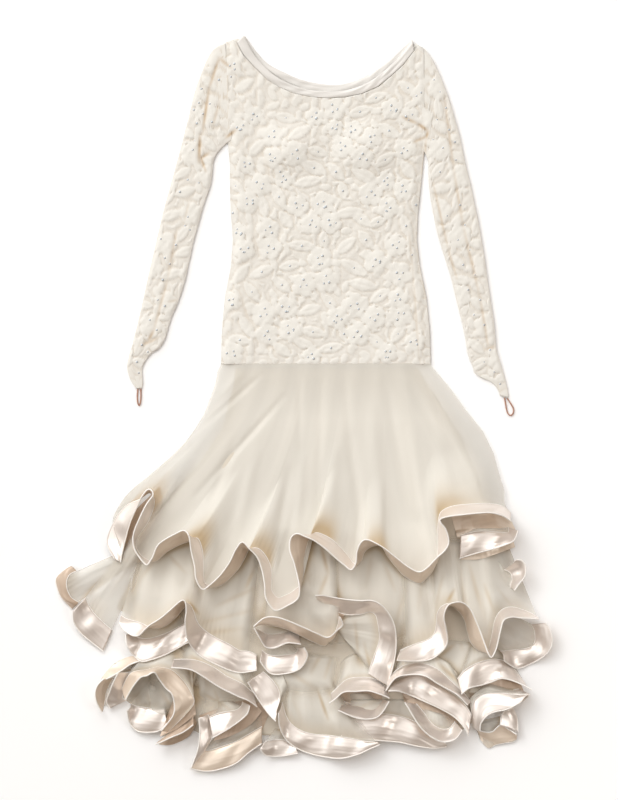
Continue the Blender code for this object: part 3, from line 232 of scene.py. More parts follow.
# Stretches of the flounces that show, in the order in which they lie on each other. Each has its name,
# whether its chiffon shows, the line that its cloth comes from, and rows with the columns of the first hem
STRETCHES = (
    ("third_far_left", False, ((150, 692), (148, 678)), (
        (102, 712, 104, 706, 0, 0.5), (97, 702, 105, 700, 1, 0.6), (95.5, 692, 106, 692, 2, 0.6),
        (98, 684, 109, 685, 2, 0.6), (104, 678, 113, 678, 2, 0.5),
    )),
    ("third_left", True, ((150, 655), (152, 690)), (
        (119, 672, 131, 672, 4, 0.7), (114, 681, 127, 682, 4, 0.6), (110, 691, 124, 690, 3, 0.4),
        (107, 701, 123, 697, 2, 0.1), (110, 708, 127, 700, 1, 0.0),
    )),
    ("third_ring_lip", False, ((147, 683), (162, 685)), (
        (127, 710, 131, 704, 0, 0.4), (130, 723, 137, 706, 0, 0.1), (138, 731, 144, 707, 0, 0.0),
        (151, 732, 151, 708, 0, 0.0), (160, 730, 158, 709, 0, 0.1), (167, 723, 165, 708, 0, 0.2),
    )),
    ("third_under_ring", False, ((178, 700), (190, 694)), (
        (156, 744, 162, 738, 0, 0.2), (163, 741, 169, 734, 0, 0.3), (173, 736, 178, 728, 0, 0.4),
        (184, 731, 187, 721, 0, 0.4), (194, 724, 194, 713, 0, 0.5),
    )),
    ("third_bottom_left", False, ((222, 716), (262, 712)), (
        (190, 768, 201, 750, 0, 0.4), (205, 771, 210, 750, 2, 0.0), (220, 769, 222, 746, 3, 0.0),
        (236, 763, 236, 741, 4, 0.0), (249, 752, 248, 734, 4, 0.0), (262, 743, 262, 726, 3, 0.0),
    )),
    ("third_wave_lip", False, ((215, 700), (235, 700)), (
        (213, 737, 209, 717, 0, 0.4), (222, 732, 218, 713, 0, 0.5), (231, 726, 227, 711, 0, 0.7),
        (241, 719, 237, 709, 0, 0.8), (248, 712, 242, 705, 0, 0.9), (250, 704, 243, 701, 0, 1.0),
    )),
    ("third_oval_lip", False, ((345, 692), (372, 692)), (
        (338, 709, 344, 701, 0, 0.6), (346, 713, 350, 703, 0, 0.7), (356, 717, 358, 704, 0, 0.7),
        (367, 718, 366, 705, 0, 0.7), (377, 716, 374, 704, 0, 0.8), (384, 709, 379, 702, 0, 0.9),
        (389, 700, 383, 699, 0, 1.0),
    )),
    ("third_long", False, ((345, 698), (435, 698)), (
        (341, 735, 342, 721, 0, 0.2), (360, 738, 360, 714, 0, 0.0), (380, 740, 381, 713, 0, 0.0),
        (400, 742, 401, 716, 0, 0.0), (418, 746, 417, 722, 0, 0.0), (434, 748, 431, 730, 0, 0.0),
        (447, 746.5, 442, 735, 0, 0.0),
    )),
    ("third_diagonal_lip", False, ((424, 708), (446, 714)), (
        (404, 701, 416, 703, 0, 0.8), (412, 714, 424, 713, 0, 0.8), (421, 727, 430, 721, 0, 0.7),
        (432, 737, 437, 727, 0, 0.6), (444, 741, 444, 729, 0, 0.5), (455, 738, 450, 727, 0, 0.6),
        (462, 729, 455, 721, 0, 0.8),
    )),
    ("third_right_lip", False, ((466, 694), (468, 684)), (
        (474, 712, 474, 700, 0, 0.2), (488, 710, 486, 695, 0, 0.2), (500, 709, 497, 694, 0, 0.2),
        (512, 705, 506, 692, 0, 0.3), (523, 700, 513, 690, 0, 0.5), (530, 694, 519, 689, 0, 0.7),
    )),
    ("third_right_end", False, ((474, 722), (500, 716)), (
        (476, 729, 480, 740, 1, 0.2), (483, 731.5, 488, 748, 1, 0.2), (492, 731.5, 495, 745, 2, 0.2),
        (500, 725, 504, 743, 3, 0.3), (508, 729, 512, 742, 3, 0.3), (516, 734, 517, 739.5, 3, 0.4),
    )),
    ("third_ring", True, ((140, 652), (158, 645), (180, 645), (205, 672)), (
        (126, 699, 122, 689, 2, 0.5), (133, 686, 127, 677, 4, 0.6), (141, 676, 134, 671, 6, 0.7),
        (148, 674, 147, 669, 8, 0.7), (155, 671, 158, 666.5, 9, 0.7), (160, 678, 172, 669, 9, 0.6),
        (166, 686.5, 184, 680, 9, 0.5), (172.5, 693, 192, 693, 8, 0.5), (175, 705, 194, 703, 6, 0.4),
        (173, 716, 184, 716, 4, 0.3), (162, 730, 168, 731, 2, 0.3),
    )),
    ("third_wave", True, ((186, 628), (215, 645), (240, 658)), (
        (172, 666, 174, 659, 4, 0.7), (190, 668, 194, 659, 6, 0.9), (205, 676, 212, 666, 6, 0.9),
        (222, 687, 228, 676, 5, 0.9), (238, 695, 242, 683, 4, 0.8), (249, 699.5, 248, 688, 2, 0.7),
        (257, 706, 255, 693, 1, 0.5),
    )),
    ("third_centre", True, ((290, 668), (308, 662), (326, 668)), (
        (278, 712, 282, 702, 1, 0.6), (279.5, 725, 286, 716, 1, 0.5), (286, 739, 293, 725, 1, 0.2),
        (297, 748, 303, 731, 1, 0.0), (312, 754, 315, 734, 1, 0.0), (328, 757, 329, 735, 1, 0.0),
        (342, 757.5, 340, 736, 0, 0.0), (358, 753.5, 353, 738, 0, 0.1), (370, 748, 365, 740.5, 0, 0.1),
        (380, 744, 376, 742, 0, 0.1),
    )),
    ("third_oval", True, ((338, 662), (355, 652), (372, 660)), (
        (329, 702, 331, 693, 3, 0.8), (336, 697, 339, 685, 5, 0.8), (344, 691, 347, 679, 7, 0.9),
        (356, 690, 358, 677, 8, 0.9), (368, 689.5, 370, 677, 8, 0.9), (379, 693, 379, 681, 6, 0.9),
        (389, 697, 386, 687, 3, 0.8),
    )),
    ("third_diagonal", True, ((398, 652), (425, 652), (450, 664), (462, 676)), (
        (388, 690, 396, 680, 3, 0.8), (398, 690, 407, 675, 5, 0.7), (410, 694.5, 420, 673, 5, 0.5),
        (425, 701, 434, 681, 5, 0.4), (440, 708, 446, 689, 4, 0.3), (455, 717, 458, 697, 3, 0.3),
        (464, 727, 467, 707, 1, 0.3), (468, 735, 471, 715, 0, 0.2),
    )),
    ("third_right_upper", True, ((470, 640), (488, 636), (500, 642)), (
        (461, 693, 457, 678, 1, 0.5), (469, 687, 465, 669, 4, 0.7), (482, 684, 478, 662, 6, 0.6),
        (492, 681, 491, 659, 6, 0.6), (501, 678, 502, 660, 5, 0.7), (512, 680, 511, 666, 4, 0.7),
        (522, 684, 519, 675, 2, 0.8), (531, 689, 525, 683, 0, 0.8),
    )),
    ("third_leaf", False, ((280, 664), (290, 690)), (
        (248, 681, 263, 671, 2, 0.8), (253, 690, 271, 678, 2, 0.7), (260, 701, 278, 688, 2, 0.5),
        (268, 712, 280, 698, 1, 0.4), (276, 720, 277, 708, 0, 0.3),
    )),
    ("second_far_left", True, ((144, 570), (144, 584)), (
        (70, 567, 77, 571, 10, -0.5), (62, 572, 70, 575, 14, -0.6), (56, 579, 67, 582, 16, -0.6),
        (58, 589, 68, 590, 14, -0.6), (63, 599, 72, 597, 10, -0.5), (72, 609, 79, 602, 6, -0.3),
    )),
    ("second_lower_left", False, ((150, 610), (180, 600)), (
        (126, 634, 135, 633, 0, 0.3), (128, 647, 138, 637, 0, 0.5), (140, 660, 145, 638, 0, 0.1),
        (152, 659, 154, 637, 0, 0.1), (168, 653, 168, 632, 0, 0.2), (186, 643, 183, 624, 0, 0.4),
        (196, 640, 192, 620, 0, 0.4),
    )),
    ("second_left", True, ((138, 557), (156, 563)), (
        (73, 611, 86, 597, 3, 0.0), (74, 622, 88, 603, 4, 0.0), (80, 632, 92, 610, 5, 0.0),
        (90, 641, 99, 618, 5, 0.0), (103, 651, 112, 630, 3, 0.0),
    )),
    ("second_centre_lip", False, ((266, 617), (299, 619)), (
        (254, 627, 263, 631, 0, 0.9), (260, 637, 265, 633, 0, 0.7), (266, 646, 269, 633, 0, 0.5),
        (276, 647, 278, 633, 0, 0.5), (288, 642, 290, 630, 0, 0.7), (301, 643, 299, 632, 0, 0.8),
    )),
    ("second_fold", True, ((328, 634), (330, 646), (335, 658), (346, 668)), (
        (315, 594, 317, 598, 6, 0.9), (323, 594, 327, 606, 7, 0.8), (332, 596, 337, 611, 8, 0.7),
        (346, 598.5, 348, 614, 9, 0.6), (360, 599.5, 361, 613, 10, 0.6), (371, 599, 369, 611, 10, 0.7),
        (380, 603, 375, 614, 9, 0.7), (388, 612, 377.5, 622, 8, 0.6), (394, 624, 379, 631, 6, 0.5),
        (396, 638, 379, 640, 4, 0.3), (395, 655, 374, 655, 2, 0.1), (391, 672, 370, 666, 1, 0.0),
        (387, 685, 368, 673, 0, 0.0),
    )),
    ("second_right_lip", False, ((474, 644), (473, 633), (474, 622)), (
        (503, 660, 500, 651, 0, 0.2), (517, 668, 509, 650, 1, -0.1), (530, 664, 521, 649, 2, -0.1),
        (541, 658, 530, 647, 3, 0.2), (549, 650, 534, 643, 4, 0.5), (552, 640, 535, 637, 5, 0.6),
        (550, 629, 534, 629, 5, 0.6), (545, 622.5, 531, 624, 4, 0.4),
    )),
    ("second_centre_left", True, ((150, 553), (190, 535), (215, 548), (245, 538), (266, 560)), (
        (119, 623, 121, 615, 2, 0.3), (126, 631, 128, 619, 2, 0.4), (138, 635, 140, 622, 2, 0.5),
        (151, 624, 155, 628, 4, 1.0), (160, 618, 165, 626, 8, 1.0), (171, 609, 176, 617, 14, 1.0),
        (184, 599, 188, 604, 18, 1.0), (187, 609, 193, 609, 16, 1.0), (186, 621, 196, 617, 11, 1.0),
        (188, 638, 200, 625, 6, 0.8), (197, 652, 208, 632, 3, 0.4), (211, 661, 218, 638, 2, 0.1),
        (228, 669, 230, 644, 2, 0.0), (240, 672, 240, 650, 2, 0.1), (250, 671, 250, 651, 2, 0.2),
        (257, 669.5, 257, 655, 1, 0.2),
    )),
    ("second_centre", True, ((270, 568), (300, 560), (340, 560)), (
        (254, 625, 260, 622, 4, 1.0), (264, 617, 267, 624, 7, 1.0), (276, 616, 277, 626, 9, 1.0),
        (290, 620, 290, 630, 9, 1.0), (303, 626, 303, 636, 8, 1.0), (316, 632, 314, 642, 6, 1.0),
        (328, 636, 325, 645, 4, 0.9), (337, 629, 333, 635, 6, 1.0), (343, 623, 338, 624, 9, 1.0),
        (340, 615, 339.5, 615, 12, 1.0),
    )),
    ("second_right", True, ((399, 572), (420, 566), (450, 562), (480, 562), (503, 560)), (
        (396, 659, 400, 650, 1, 0.9), (412, 660, 413, 644, 2, 0.6), (429, 659, 427, 639, 2, 0.4),
        (441, 651, 434, 633, 3, 0.6), (447, 641, 436, 624, 6, 0.8), (446, 628, 437, 614, 10, 1.0),
        (443, 615, 441, 606, 15, 1.0), (447, 604, 449, 603, 18, 1.0), (455, 601, 456, 609, 19, 1.0),
        (462, 602, 460, 613, 18, 1.0), (469, 608, 464, 621, 14, 1.0), (476, 622, 467, 632, 9, 1.0),
        (481, 636, 471, 643, 5, 1.0), (486, 650, 480, 651, 2, 1.0), (490, 656, 488, 650, 1, 1.0),
        (494, 650, 490, 642, 3, 1.0), (497, 640, 492, 631, 6, 1.0), (500, 628, 495, 618, 9, 1.0),
        (503, 619, 501, 610, 11, 1.0), (511, 616, 509, 607, 11, 1.0), (520, 617, 518, 608, 9, 1.0),
        (530, 618, 529, 612, 6, 0.9), (538, 619, 537, 617, 3, 0.7),
    )),
    ("first_lip", False, ((470, 528), (500, 528)), (
        (459, 558, 460, 535, 0, 0.0), (475, 553, 475, 531, 0, 0.1), (490, 549, 489, 531, 0, 0.4),
        (503, 545, 500, 532, 0, 0.6), (513, 540, 508, 532, 0, 0.8), (517, 530, 508, 527, 0, 0.9),
    )),
)

# Strips that show between the stretches of the flounces: the stretch that they lie under, name, finish, the
# line that their cloth comes from, and rows as above. The finish is a band with its cloth, the band alone,
# cloth, or the inner side of satin, lit, or in a darker colour that paints the shade deep inside a hollow
STRIPS = (
    ("third_far_left", "cavity_left", "inside", ((160, 486), (163, 520), (160, 562)), (
        (110, 536, 112, 533, 0, 0.0), (114, 550, 116, 548, 0, 0.0), (123, 563, 126, 562, 0, 0.0),
    )),
    ("third_far_left", "third_floor_left", "cloth", ((160, 640), (170, 668), (215, 690)), (
        (108, 688, 116, 690, 0, 0.0), (130, 712, 134, 706, 0, 0.0), (170, 728, 172, 720, 0, 0.0),
        (200, 740, 203, 735, 0, 0.0),
    )),
    ("third_left", "third_left_rim", "band", ((150, 668), (130, 672)), (
        (101, 681, 103, 676, 0, 0.4), (112, 676, 110, 667, 1, 0.4), (122, 669.5, 118, 661, 2, 0.4),
        (130, 664, 127, 657, 2, 0.4), (141, 660, 139, 655, 2, 0.4),
    )),
    ("third_under_ring", "under_ring_lower", "inside", ((165, 734), (195, 718)), (
        (156, 745, 158, 744, 0, 0.0), (164, 748, 165, 745, 0, 0.0), (174, 748, 174, 744, 0, 0.0),
        (190, 739, 189, 736, 0, 0.0), (199, 724, 197, 722, 0, 0.0),
    )),
    ("third_bottom_left", "bottom_inside", "inside", ((200, 715), (230, 705), (275, 700)), (
        (196, 752, 200, 746, 0, 0.0), (220, 748, 222, 742, 0, 0.0), (262, 738, 262, 730, 0, 0.0),
    )),
    ("third_wave_lip", "bottom_white_strip", "band", ((222, 722), (220, 735)), (
        (199, 717, 208, 714, 2, 0.3), (200, 733, 211, 724, 2, 0.3), (198, 748, 212, 737, 1, 0.3),
        (191, 768, 202, 752, 0, 0.2),
    )),
    ("third_wave_lip", "wave_turn", "inside", ((232, 702), (252, 698)), (
        (212, 742, 214, 740, 0, 0.0), (226, 738, 226, 737, 0, 0.0), (241, 732, 240, 731, 0, 0.0),
        (255, 723, 253, 722, 0, 0.0), (266, 712, 262, 711, 0, 0.0),
    )),
    ("third_wave_lip", "small_loop", "band", ((275, 728), (290, 730)), (
        (260, 748, 264, 742, 0, 0.2), (266, 755, 270, 740, 0, 0.1), (281, 756, 281, 739.5, 0, 0.1),
        (298, 753, 294, 742, 0, 0.2),
    )),
    ("third_oval_lip", "oval_inside", "inside", ((336, 694), (358, 684), (382, 690)), (
        (340, 706, 341, 704, 0, 0.0), (358, 716, 358, 713, 0, 0.0), (384, 706, 382, 703, 0, 0.0),
    )),
    ("third_long", "long_inside", "inside", ((340, 700), (380, 706), (440, 712)), (
        (338, 734, 339, 728, 0, 0.0), (380, 736, 380, 730, 0, 0.0), (440, 742, 438, 736, 0, 0.0),
    )),
    ("third_diagonal_lip", "diagonal_inside", "inside", ((400, 682), (430, 684), (458, 696)), (
        (402, 703, 404, 701, 0, 0.0), (428, 727, 430, 724, 0, 0.0), (460, 728, 458, 725, 0, 0.0),
    )),
    ("third_right_lip", "right_inside", "inside", ((468, 680), (492, 672), (520, 682)), (
        (470, 716, 471, 712, 0, 0.0), (494, 712, 494, 708, 0, 0.0), (526, 695, 524, 692, 0, 0.0),
    )),
    ("third_ring", "right_lobe", "band", ((466, 700), (486, 682)), (
        (480, 730, 473, 727, 0, 0.2), (481, 722, 471.5, 714, 1, 0.2), (487, 714.5, 474, 700, 2, 0.3),
        (495, 711, 484, 693.5, 2, 0.3), (505, 709, 500, 692.5, 2, 0.3), (512, 706, 515, 694, 2, 0.3),
        (520, 701, 528, 694, 1, 0.3),
    )),
    ("third_ring", "right_side_strip", "alone", ((525, 712), (525, 726)), (
        (504, 710, 512, 706.5, 0, 0.1), (501, 716, 517, 717, 0, 0.1), (500, 725, 517.5, 732, 0, 0.1),
    )),
    ("third_ring", "ring_inside", "cloth", ((148, 680), (165, 676), (186, 690)), (
        (150, 716, 152, 710, 0, 0.0), (165, 720, 166, 714, 0, 0.0), (184, 712, 184, 706, 0, 0.0),
    )),
    ("third_ring", "ring_shade", "inside", ((182, 676), (194, 690)), (
        (158, 742, 160, 736, 0, 0.0), (176, 734, 177, 728, 0, 0.0), (196, 722, 196, 714, 0, 0.0),
    )),
    ("third_wave", "wave_cloth", "cloth", ((186, 640), (225, 655), (262, 665)), (
        (192, 706, 194, 700, 0, 0.0), (210, 716, 212, 712, 1, 0.0), (235, 712, 236, 706, 1, 0.0),
        (256, 704, 256, 698, 0, 0.0),
    )),
    ("third_oval", "third_gap_cloth", "cloth", ((262, 655), (300, 650), (345, 655)), (
        (256, 694, 260, 690, 0, 0.0), (300, 706, 302, 700, 0, 0.0), (336, 700, 338, 694, 0, 0.0),
    )),
    ("third_diagonal", "third_right_cloth", "cloth", ((395, 640), (440, 636), (485, 640)), (
        (386, 686, 390, 682, 0, 0.0), (430, 700, 432, 694, 0, 0.0), (475, 694, 476, 688, 0, 0.0),
    )),
    ("third_right_upper", "diagonal_upper", "band", ((400, 652), (425, 650), (452, 662)), (
        (386, 690, 389.5, 676, 1, 0.5), (396, 676.5, 403, 665.5, 3, 0.6), (410, 673.5, 420, 662, 4, 0.6),
        (424, 675, 436, 668, 4, 0.6), (438, 683, 449, 679, 3, 0.5), (455, 693, 463, 692, 2, 0.4),
        (467, 704, 470, 702, 0, 0.3),
    )),
    ("second_far_left", "second_gap_left", "cloth", ((140, 560), (160, 560), (190, 560)), (
        (112, 612, 116, 608, 0, 0.0), (150, 630, 152, 626, 0, 0.0), (185, 640, 185, 634, 0, 0.0),
    )),
    ("second_centre_lip", "centre_inside", "inside", ((262, 612), (285, 608), (305, 614)), (
        (258, 634, 260, 632, 0, 0.0), (280, 640, 281, 637, 0, 0.0), (304, 640, 304, 637, 0, 0.0),
    )),
    ("second_centre_lip", "centre_lower_lip", "band", ((264, 640), (285, 642), (298, 644)), (
        (260, 660, 262, 650, 0, 0.3), (268, 671, 268, 654, 0, 0.2), (277, 674, 276, 655, 0, 0.2),
        (294, 671, 290, 654, 0, 0.3), (303, 665, 296, 652, 0, 0.5), (308, 654, 298, 649, 0, 0.8),
        (304, 646, 297, 647, 0, 0.9),
    )),
    ("second_fold", "second_middle_cloth", "cloth", ((232, 530), (330, 525), (430, 535)), (
        (232, 660, 236, 652, 0, 0.0), (300, 678, 302, 670, 0, 0.0), (345, 676, 346, 668, 0, 0.0),
        (428, 668, 426, 660, 0, 0.0),
    )),
    ("second_centre", "centre_curl", "inside", ((318, 594), (333, 600), (345, 612)), (
        (320, 610, 321, 608, 3, 0.0), (330, 616, 331, 614, 3, 0.0), (342, 624, 341, 621, 2, 0.0),
    )),
    ("first_lip", "first_ear", "band", ((498, 560), (502, 578)), (
        (515, 559, 504, 569, 3, 0.5), (521, 560, 508, 571, 4, 0.5), (525, 566, 511, 574, 4, 0.5),
        (524, 576, 512, 579, 3, 0.5), (519, 583, 511, 583, 2, 0.5), (514, 590, 510, 587, 1, 0.5),
    )),
    ("first_lip", "first_return", "lit", ((466, 532), (490, 530), (510, 528)), (
        (461, 561, 461, 559, 0, 0.0), (478, 561, 478, 559, 0, 0.0), (495, 556, 495, 554, 0, 0.0),
        (517, 549, 515, 547, 0, 0.0),
    )),
    ("first_lip", "first_turn", "lit", ((448, 506), (478, 502), (506, 508)), (
        (456, 540, 457, 537, 2, 0.0), (484, 538, 484, 535, 2, 0.0), (516, 532, 515, 529, 2, 0.0),
    )),
)
# Stretches that show the inner side of their satin, in the light, or in a darker colour that paints the shade
# deep in a hollow
INNER_SIDE_OUT = {"third_bottom_left": "inner", "third_far_left": "inner", "third_under_ring": "deep",
                  "third_right_end": "deep", "second_far_left": "deep"}

# Creases of the flounces: start, end, depth in millimetres, half of the width, share of the painted brown
# shade
FLOUNCE_CREASES = (
    (136, 560, 124, 610, 1.6, 3.0, 0.5), (163, 550, 137, 583, 1.2, 3.5, 0.3),
    (182, 545, 153, 553, 1.8, 2.5, 0.8), (191, 550, 199, 582, 1.5, 3.0, 0.4),
    (167, 553, 187, 573, 1.2, 3.0, 0.3), (188, 600, 199, 613, 1.5, 2.5, 0.7),
    (255, 568, 246, 588, 1.6, 3.0, 0.6), (263, 584, 216, 606, 1.2, 3.5, 0.4),
    (269, 606, 203, 622, 1.0, 3.5, 0.3), (203, 633, 243, 628, 1.0, 4.0, 0.3),
    (226, 560, 214, 592, 1.2, 3.5, 0.3), (300, 552, 310, 583, 1.4, 3.5, 0.4),
    (321, 545, 328, 573, 1.6, 3.0, 0.6), (328, 573, 318, 597, 1.4, 3.0, 0.5),
    (340, 532, 353, 553, 1.6, 2.5, 0.8), (294, 594, 311, 574, 1.2, 3.0, 0.4),
    (383, 560, 395, 590, 1.2, 3.5, 0.3), (407, 584, 394, 630, 1.4, 4.0, 0.3),
    (372, 548, 366, 588, 1.0, 4.0, 0.2), (424, 566, 418, 612, 1.0, 4.0, 0.2),
    (443, 573, 435, 606, 1.4, 3.0, 0.3), (454, 589, 447, 601, 1.8, 2.5, 0.8),
    (469, 564, 482, 612, 1.5, 3.5, 0.4), (484, 584, 493, 610, 1.4, 3.0, 0.4),
    (497, 587, 510, 604, 1.2, 3.0, 0.3), (456, 622, 462, 648, 1.4, 3.5, 0.4),
    (342, 622, 325, 677, 1.8, 3.0, 0.6), (355, 622, 359, 663, 1.5, 2.5, 0.5),
    (364, 642, 371, 672, 1.2, 2.5, 0.5), (331, 636, 311, 672, 1.5, 3.0, 0.5),
    (284, 668, 318, 690, 1.2, 4.0, 0.3), (317, 688, 328, 719, 1.8, 2.5, 0.8),
    (438, 663, 462, 684, 1.6, 3.5, 0.7), (435, 660, 455, 643, 1.4, 3.0, 0.6),
    (410, 640, 400, 668, 1.2, 3.5, 0.4), (192, 655, 236, 690, 1.4, 3.5, 0.6),
    (188, 677, 201, 697, 1.5, 3.0, 0.6), (205, 694, 229, 708, 1.5, 2.5, 0.6),
    (215, 690, 222, 711, 1.3, 2.5, 0.5), (160, 690, 176, 712, 1.2, 3.5, 0.4),
    (146, 692, 152, 706, 1.0, 3.0, 0.3), (290, 690, 302, 722, 1.0, 4.0, 0.2),
    (112, 590, 130, 566, 0.9, 4.0, 0.2), (252, 660, 266, 640, 1.2, 3.0, 0.5),
    (378, 700, 356, 708, 1.0, 3.0, 0.3),
)

# Crystals of the sleeves: across, down
LEFT_CRYSTALS = (
    (201.6, 89), (199, 103), (194, 110), (203, 114), (197, 123.5), (195, 141), (193, 150), (188, 180),
    (199, 183), (180, 192), (188, 217), (185, 226), (190, 230), (161, 239), (219, 80), (231, 77),
    (176, 245), (165, 258), (170, 264), (163, 280), (158, 300), (165, 306), (150, 320), (157, 330),
    (142, 345), (148, 352), (137, 362), (139, 373), (210, 104), (212, 122),
)
RIGHT_CRYSTALS = (
    (434, 80), (440, 92), (446, 108), (437, 120), (449, 130), (443, 148), (456, 160), (440, 172),
    (450, 190), (460, 205), (447, 216), (465, 225), (458, 240), (470, 250), (463, 265), (475, 275),
    (468, 290), (480, 300), (474, 315), (484, 325), (478, 340), (490, 350), (484, 362), (494, 372),
    (500, 384), (433, 140), (455, 142),
)

# Roses of the raised cloth: across, down, radius, turn
ROSES = (
    (272.5, 136, 10.5, 0.3), (273, 158, 10.0, 1.0), (295, 154, 12.0, 0.6), (335, 109, 11.0, 0.1),
    (343, 147, 10.5, 0.9), (362, 158, 11.0, 0.2), (335, 128, 8.0, 0.5), (353, 130, 9.0, 1.2),
    (372, 138, 10.0, 0.8), (315, 117, 9.0, 0.4), (261, 185, 11.0, 0.7), (248, 202, 11.0, 0.0),
    (298, 206, 10.5, 1.1), (323, 204, 11.5, 0.5), (312, 224, 10.5, 0.2), (331, 223, 10.5, 0.9),
    (371, 194, 11.5, 0.3), (386, 181, 9.0, 0.6), (404, 190, 10.0, 0.2), (388, 208, 10.5, 1.0),
    (268, 230, 11.0, 0.4), (244, 250, 10.5, 0.8), (270, 248, 11.5, 0.1), (320, 259, 11.5, 0.7),
    (396, 246, 10.5, 0.5), (376, 262, 11.5, 0.0), (399, 274, 11.5, 0.9), (327, 281, 11.5, 0.3),
    (304, 285, 11.5, 1.2), (231, 301, 9.0, 0.6), (264, 314, 12.0, 0.2), (287, 308, 11.0, 0.8),
    (267, 335, 11.0, 0.5), (291, 330, 11.5, 0.0), (356, 306, 12.0, 0.4), (338, 318, 11.0, 1.1),
    (374, 318, 11.5, 0.7), (358, 334, 11.5, 0.3), (400, 315, 12.0, 0.9), (398, 299, 9.5, 0.1),
    (232, 353, 11.0, 0.5), (392, 109, 10.0, 0.2), (409, 118, 10.0, 0.8), (421, 95, 10.0, 0.3),
    (254, 116, 9.0, 1.0), (240, 128, 9.0, 0.6), (404, 150, 9.0, 0.2), (238, 232, 8.5, 0.3),
    (246, 165, 8.5, 0.9), (415, 342, 9.5, 0.4), (232, 66, 9.5, 0.6), (425, 70, 9.5, 0.2),
    (312, 356, 9.0, 0.4), (387, 353, 10.0, 0.8), (284, 180, 8.5, 0.0),
)
# Leaves of the raised cloth: across, down, half length, half width, turn
LEAVES = (
    (314, 168, 14, 7.0, 0.4), (365, 176, 15, 6.5, 0.45), (318, 152, 11, 5.5, 0.3), (336, 172, 12, 6.0, 0.8),
    (308, 182, 15, 6.0, -0.2), (280, 172, 10, 5.5, 1.2), (279, 197, 14, 6.5, 1.1),
    (349, 213, 15, 6.0, -0.15), (343, 191, 10, 5.5, 1.3), (361, 219, 14, 6.0, 0.6),
    (286, 220, 11, 6.0, 0.9), (302, 246, 15, 6.0, 0.1), (324, 241, 10, 5.5, 1.5), (346, 246, 13, 6.0, -0.7),
    (366, 240, 12, 6.0, 0.9), (354, 268, 16, 6.5, 0.5), (363, 285, 15, 6.5, 0.2), (282, 285, 12, 6.0, 0.7),
    (262, 272, 14, 6.0, -0.4), (241, 274, 13, 6.0, -0.9), (252, 292, 13, 5.5, 0.9),
    (330, 303, 12, 5.5, 0.9), (310, 310, 12, 6.0, -0.3), (380, 296, 12, 6.0, -0.6),
    (313, 332, 14, 6.0, 0.2), (304, 344, 13, 5.5, 0.4), (331, 348, 13, 5.5, -0.2), (377, 342, 12, 6.0, 0.7),
    (247, 327, 14, 6.0, 1.0), (240, 340, 12, 5.5, 0.2), (398, 334, 12, 6.0, -0.9), (282, 350, 12, 5.5, 0.6),
    (406, 226, 13, 6.0, 1.2), (378, 222, 11, 5.5, -0.5), (408, 170, 12, 6.0, 0.9),
    (385, 160, 12, 6.0, -0.6), (389, 131, 14, 6.0, 0.5), (300, 133, 14, 6.0, -0.5),
    (286, 118, 12, 5.5, 0.2), (360, 112, 13, 6.0, -0.3), (257, 148, 12, 5.5, -0.8),
    (376, 98, 12, 5.0, -0.4), (408, 88, 12, 5.5, 0.6), (244, 86, 12, 5.5, -0.6), (416, 205, 10, 5.0, 1.4),
    (412, 255, 12, 5.5, 1.3), (418, 290, 12, 5.5, 1.4), (233, 213, 12, 5.5, 1.4), (236, 186, 11, 5.0, 0.7),
    (264, 207, 12, 5.5, 1.4), (290, 266, 12, 5.5, -0.2), (344, 334, 10, 5.0, 1.2),
)
# Creases of the bodice and sleeves: start, end, depth in mm, half width in pixels, share of the painted brown
# shade
CREASES = (
    (236, 130, 226, 138, 1.6, 2.4, 1.0), (200, 136, 199, 162, 1.6, 2.4, 1.0),
    (199, 160, 209, 153, 1.2, 2.2, 0.8), (199, 152, 206, 172, 1.0, 2.0, 0.7),
    (219, 58, 209, 89, 1.0, 2.2, 0.7), (209, 89, 203, 130, 1.3, 2.2, 0.9),
    (219, 58, 231, 68, 1.0, 2.4, 0.8), (176, 232, 168, 278, 1.1, 2.2, 0.5),
    (168, 278, 154, 330, 1.1, 2.2, 0.5), (154, 330, 148, 342, 1.4, 2.4, 0.8),
    (402, 117, 418, 124, 1.3, 2.4, 0.8), (418, 124, 428, 131, 1.6, 2.4, 1.0),
    (428, 131, 426, 139, 1.6, 2.4, 1.0), (426, 139, 423, 180, 1.1, 2.2, 0.6),
    (414, 142, 428, 136, 1.2, 2.2, 0.8), (444, 96, 454, 172, 0.9, 2.2, 0.5),
    (454, 172, 463, 226, 1.0, 2.2, 0.5), (463, 226, 480, 298, 1.1, 2.2, 0.5),
    (480, 298, 488, 346, 1.1, 2.2, 0.5), (433, 183, 448, 249, 0.9, 2.0, 0.5),
    (448, 249, 457, 279, 0.9, 2.0, 0.5), (409, 232, 413, 273, 0.8, 1.6, 0.35),
    (413, 273, 419, 360, 0.8, 1.6, 0.35), (262, 150, 275, 190, 0.8, 3.0, 0.1),
    (239, 292, 252, 330, 0.9, 2.4, 0.15), (256, 340, 280, 352, 0.7, 2.4, 0.1),
    (252, 232, 262, 262, 0.7, 2.4, 0.1), (190, 200, 184, 222, 0.7, 2.0, 0.3),
    (178, 300, 168, 302, 0.7, 2.2, 0.4), (158, 338, 140, 346, 0.9, 2.4, 0.6),
    (484, 350, 496, 346, 0.8, 2.2, 0.5), (220, 100, 212, 130, 0.7, 2.2, 0.4),
)
